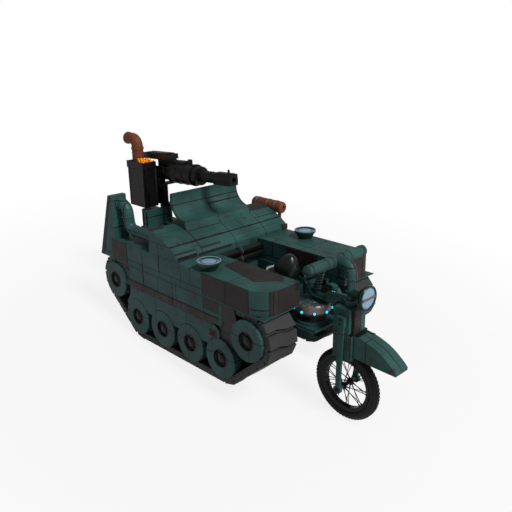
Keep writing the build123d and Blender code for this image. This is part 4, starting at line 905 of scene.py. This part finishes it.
# %% Pad
# Columns: height, middle along, half length, half width
PAD_RINGS = ((831, 325, 112, 88), (845, 324, 130, 104), (880, 322, 138, 111), (925, 332, 120, 99),
             (968, 343, 96, 80), (1005, 356, 62, 54), (1028, 366, 34, 30))
PAD_STEPS = 24
pad_angles = [2 * pi * i / PAD_STEPS for i in range(PAD_STEPS)]
rows = [[(middle + half_length * cos(a), half_width * sin(a), height) for a in pad_angles]
        for height, middle, half_length, half_width in PAD_RINGS]
underside, top = ([(middle, 0, height)] for height, middle, *_ in (PAD_RINGS[0], PAD_RINGS[-1]))
pad_mesh = to_mesh(skin([underside, *rows, top]))
pad = show("saddle_pad", pad_mesh, "chassis", "saddle_leather", replaced=["saddle"], crease=60)
smoothing = pad.modifiers.new("smooth", "SUBSURF")
smoothing.levels = 1
smoothing.render_levels = 1

# %% Pan
PAN_X = 322


def pan_band(section):
    """Half an oval band behind the saddle, from a section of (length, width, height) points."""
    rows = []
    for i in range(21):
        angle = radians(90 + 9 * i)
        rows.append([(PAN_X + a * cos(angle), b * sin(angle), z) for a, b, z in section])
    return to_mesh(skin(rows, capped=True))


# black pan under the saddle: its black paints the shadow under the pad
pan_shade = pan_band([(95, 70, 826), (185, 108, 830), (206, 124, 842), (206, 124, 838), (186, 108, 825),
                (95, 70, 820)])
show("saddle_pan_shade", pan_shade, "chassis", "black_metal")
# the rim's pale colour paints a highlight on the saddle's rear edge
pan_rim_highlight = pan_band([(202, 120, 842), (216, 132, 856), (220, 136, 854), (206, 124, 837)])
show("pan_rim_highlight", pan_rim_highlight, "chassis", "machined_steel", finish="rim_highlight_paint")

# %% [markdown]
# ## The open engine
# The round casting carries a cover of teal sectors inside a pale ring. Cyan pilot lamps in dark red sockets
# stand round it, and a ringed duct and a lattice strut lean over it.

# %% Engine casting and cover
ENGINE_X, RING_Z, RING_R = 636, 603, 158
CASTING = Matrix.Translation((ENGINE_X, 0, 0))
LAMPS, LAMP_PITCH, FIRST_LAMP = 9, 360 / 9, -45      # pilot lamps, and their spacing and first one in degrees
casting = lathe([(0, 516), (112, 516), (112, 560), (128, 585), (150, 597), (RING_R, 607), (RING_R, 650),
                 (155, 668), (146, 678), (136, 680), (132, 676), (60, 676), (56, 682), (0, 682)], steps=64)
sector = prism([(66, 676), (126, 676), (126, 681), (66, 681)], -26, 26, 1.5)
sectors = join(around(sector, 8), lathe([(0, 681), (40, 681), (38, 690), (0, 692)], steps=24))
fin = lathe([(110, 524), (122, 524), (122, 530), (110, 530)], steps=48, ring=True)
fins = along(fin, 4, (0.0, 0.0, 12.0))
socket = lathe([(11, 0), (18, 0), (17, 6), (11, 6)], (RING_R - 1, 0, RING_Z + 16), (1, 0, 0), 16, ring=True)
sockets = around(socket, LAMPS, FIRST_LAMP / LAMP_PITCH)
bolts = around(lathe([(0, 0), (6, 0), (6, 5), (0, 6)], (150, 0, 679), steps=6), 16)
for turned in (casting, sectors, fins, sockets, bolts):
    turned.transform(CASTING)
show("engine_casting", casting, "chassis", "engine_casting", finish="engine_ring", replaced=["engine_drum"])
show("engine_sectors", sectors, "chassis", "body_paint", finish="sector_teal")
show("engine_fins", fins, "chassis", "engine_casting", finish="dark_panels")
show("lamp_sockets", sockets, "chassis", "engine_casting", finish="socket_red")
show("engine_bolts", bolts, "chassis", "machined_steel", finish="black_metal")

# %% Duct, lattice strut and control box
duct = hose([(470, 130, 735), (455, 95, 800), (470, 40, 868), (520, 5, 880), (548, -6, 840), (556, -4, 770)],
            radius=15.0, spacing=13.0, ring=20.0, width=6.0)
show("ringed_duct", duct, "chassis", "machined_steel", finish="black_metal")
rungs = along(prism([(628, 770), (672, 780), (672, 788), (628, 778)], 28, 58, 1.0), 6, (8.0, 0.0, 27.0))
show("strut_rungs", rungs, "chassis", "engine_casting", finish="engine_ring")
dots = [lathe([(0, 0), (7, 0), (7, 3), (0, 4)], (x, 30, 800), TO_RIGHT, 12) for x in (822, 842)]
show("control_dots", join(*dots), "chassis", "glow")
windows = [brick((x - 3, x + 43), (73, 77), (752, 795), 1.0) for x in (696, 756)]
show("housing_frames", join(*windows), "chassis", "dark_panels", finish="window_red")

# %% [markdown]
# ## The gun and its ammunition
# The gun is black on black, so its shapes have to read by their edges: fins on the barrel's shroud, rows of
# near-black discs that paint the shade in the jacket's holes, a ribbed top cover and sights. The brass rounds
# lie heaped in the box, each tipped its own way by a fixed seed.

# %% Gun trim, built along the barrel and then raised to its slope
GUN = Matrix.Translation((-1425, 0, 1530)) @ Matrix.Rotation(radians(-3.0), 4, "Y")
ALONG = Matrix.Rotation(pi / 2, 4, "Y")      # lays what is round about Z along the barrel
shroud_ring = lathe([(100, 0), (108, 0), (108, 16), (100, 16)], steps=40, ring=True)
shroud_rings = copies(shroud_ring, [ALONG @ Matrix.Translation((0, 0, d)) for d in (188, 300, 412, 526)])
GUN_BLOCKS = (
    brick((-290, 165), (-86, 86), (134, 140), 2),       # seam round the receiver's lid
    brick((-200, 120), (-50, 50), (183, 196), 3),       # plate on the lid
    brick((190, 400), (-40, 40), (96, 128), 5),         # block on the shroud
    brick((240, 330), (-104, -86), (-60, 50), 6),       # box on the shroud's side
    brick((-20, 120), (-92, -78), (-10, 70), 5),        # feed door
    brick((860, 1070), (-30, 30), (50, 60), 2),         # plate on the muzzle
    brick((430, 480), (-12, 12), (100, 150), 2),        # rear sight
    brick((1010, 1030), (-6, 6), (58, 92), 1),          # front sight
    brick((845, 1085), (-54, -48), (-20, 20), 2),       # muzzle's side plates
    brick((845, 1085), (48, 54), (-20, 20), 2),
)
muzzle_ribs = along(brick((868, 880), (-53, 53), (-55, 55), 1.5), 6, (34.0, 0.0, 0.0))
cover_ribs = along(brick((-270, -258), (-82, 82), (182, 189), 1.5), 9, (45.0, 0.0, 0.0))
gun_trim = join(shroud_rings, *GUN_BLOCKS, muzzle_ribs, cover_ribs)
gun_trim.transform(GUN)
show("gun_trim", gun_trim, "gun", "gun_metal")
# near-black discs on the jacket paint the shade in its holes
hole_shade_row = around(lathe([(0, 52), (11, 52), (11, 56.5), (0, 56.5)], axis=(1, 0, 0), steps=10), 8)
hole_shade_discs = along(hole_shade_row, 5, (0.0, 0.0, 38.0))
hole_shade_discs.transform(GUN @ ALONG @ Matrix.Translation((0, 0, 648)))
show("jacket_hole_shade", hole_shade_discs, "gun", "gun_metal", finish="painted_hole_shade")

# %% Ammunition box trim
BIN_OUT, BIN_FRONT, BIN_BACK, BIN_LOW, BIN_RIM = -265, -1420, -1688, 1180, 1578
trim_bars = [brick((x - 7, x + 7), (BIN_OUT - 5, BIN_OUT + 1), (BIN_LOW + 4, BIN_RIM), 2)
             for x in (BIN_BACK + 10, BIN_FRONT - 10)]
trim_bars += [brick((BIN_BACK + 20, BIN_FRONT - 20), (BIN_OUT - 4, BIN_OUT + 1), (z, z + 10), 2)
              for z in (BIN_LOW + 6, 1380, 1560)]
trim_bars.append(brick((BIN_FRONT - 1, BIN_FRONT + 10), (-124, -106), (BIN_LOW + 2, BIN_RIM), 2))
show("box_trim", join(*trim_bars), "gun_mount", "gun_metal", finish="box_edges")

# %% Heaped rounds
round_tree, given = new_tree("heaped_rounds", Across=(100.0, 100.0, 0.0), Radius=8.0, Length=46.0, Seed=7)
size = step(round_tree, "ShaderNodeSeparateXYZ", {0: given["Across"]})
tray_grid = step(round_tree, "GeometryNodeMeshGrid",
                 {"Size X": size[0], "Size Y": size[1], "Vertices X": 8, "Vertices Y": 7})
case = step(round_tree, "GeometryNodeMeshCone",
            {"Vertices": 8, "Radius Top": 3.0, "Radius Bottom": given["Radius"], "Depth": given["Length"]})
tip = step(round_tree, "FunctionNodeRandomValue",
           {0: (-0.9, -0.9, 0.0), 1: (0.9, 0.9, 3.0), "Seed": given["Seed"]}, data_type="FLOAT_VECTOR")
heap = step(round_tree, "GeometryNodeInstanceOnPoints",
            {"Points": tray_grid[0], "Instance": case[0], "Rotation": tip[0]})
close_tree(round_tree, given, heap[0])
rounds = grow(round_tree, path_mesh(NO_PATH), Across=(100.0, 106.0, 0.0))
rounds.transform(Matrix.Translation((-1490, -184, 1636)))
bed = brick((-1548, -1436), (-249, -120), (1608, 1640), 3)
show("brass_heap", join(bed, rounds), "gun_mount", "brass_rounds", replaced=["cartridges"])

# %% [markdown]
# ## Studio
# The machine stands on a pale floor under a soft sun, with a lamp in front and a pale sky. Rays that come
# straight from the camera see the sky as pure white, so the backdrop is white without extra light on the
# machine. The floor glows for the camera only, and so strongly that just the machine's own shadow still
# shows on it.

# %% Sky
WHITE = (1, 1, 1, 1)
SKY_FILL = 0.3
scene.view_settings.view_transform = "Standard"
world = bpy.data.worlds.new("studio_sky")
world.use_nodes = True
scene.world = world
sky = world.node_tree
ray = step(sky, "ShaderNodeLightPath")
direct = math_node(sky, "MAXIMUM", ray["Is Camera Ray"], ray["Is Transmission Ray"])
fill = sky.nodes["Background"]
fill.inputs["Color"].default_value = WHITE
fill.inputs["Strength"].default_value = SKY_FILL
backdrop = step(sky, "ShaderNodeBackground", {"Color": WHITE, "Strength": 1.0})
sky_mix = step(sky, "ShaderNodeMixShader", {"Fac": direct, 1: fill.outputs["Background"], 2: backdrop[0]})
sky.links.new(sky_mix[0], sky.nodes["World Output"].inputs["Surface"])

# %% Floor
REACH, NEAR_GLOW = 40.0, 0.84      # metres to the floor's edge, and the share of white near the machine
floor_mesh = bpy.data.meshes.new("floor")
floor_mesh.from_pydata([(-REACH, -REACH, 0), (REACH, -REACH, 0), (REACH, REACH, 0), (-REACH, REACH, 0)], [],
                       [(0, 1, 2, 3)])
floor = bpy.data.objects.new("floor", floor_mesh)
scene.collection.objects.link(floor)
paint = finishes["floor_paint"].node_tree
place = step(paint, "ShaderNodeTexCoord")["Object"]
away = step(paint, "ShaderNodeVectorMath", {0: place}, operation="LENGTH")["Value"]
beyond = math_node(paint, "MULTIPLY", ramp(paint, away, 2.2, 5.0), 1 - NEAR_GLOW)
glow_share = math_node(paint, "ADD", beyond, NEAR_GLOW)
seen = math_node(paint, "MULTIPLY", step(paint, "ShaderNodeLightPath")["Is Camera Ray"], glow_share)
glow = step(paint, "ShaderNodeEmission", {"Strength": 1.0})
floor_mix = step(paint, "ShaderNodeMixShader",
                 {"Fac": seen, 1: paint.nodes["Principled BSDF"].outputs["BSDF"], 2: glow[0]})
paint.links.new(floor_mix[0], paint.nodes["Material Output"].inputs["Surface"])
floor_mesh.materials.append(finishes["floor_paint"])


# %% Lamps
def hang(name, kind, energy, place, target):
    """A lamp at a place, shining at a point."""
    light = bpy.data.lights.new(name, kind)
    light.energy = energy
    holder = bpy.data.objects.new(name, light)
    holder.location = place
    holder.rotation_euler = (Vector(target) - Vector(place)).to_track_quat("-Z", "Y").to_euler()
    scene.collection.objects.link(holder)
    return light


hang("sun", "SUN", 2.6, (3.2, -0.1, 4.8), (0, 0, 0)).angle = radians(14)
hang("front_lamp", "AREA", 45, (4.8, 0.6, 2.6), (0, 0, 0.7)).size = 2.5
print("studio ready")

# %% [markdown]
# ## Camera
# The photograph was taken from ahead and to the right, a little above the machine. The camera's place was
# solved on the level machine, so it is parked with it.

# %% Camera
AZIMUTH, ELEVATION, ROLL = radians(45.614), radians(19.198), radians(-0.736)
CAMERA_PLACE = Vector((3.7095, -3.6916, 2.7499))
LENS, SENSOR = 42.28, 36
right = Vector((cos(AZIMUTH), sin(AZIMUTH), 0))
up = Vector((-sin(AZIMUTH) * sin(ELEVATION), cos(AZIMUTH) * sin(ELEVATION), cos(ELEVATION)))
back = right.cross(up)
rolled_right = right * cos(ROLL) + up * sin(ROLL)
rolled_up = up * cos(ROLL) - right * sin(ROLL)
pose = Matrix((rolled_right, rolled_up, back)).transposed().to_4x4()
pose.translation = CAMERA_PLACE
camera_data = bpy.data.cameras.new("camera")
camera_data.lens = LENS
camera_data.sensor_width = SENSOR
camera_data.clip_end = 200
camera = bpy.data.objects.new("camera", camera_data)
camera.matrix_world = PARK @ pose
scene.collection.objects.link(camera)
scene.camera = camera
print("camera at", [round(v, 3) for v in camera.matrix_world.translation])
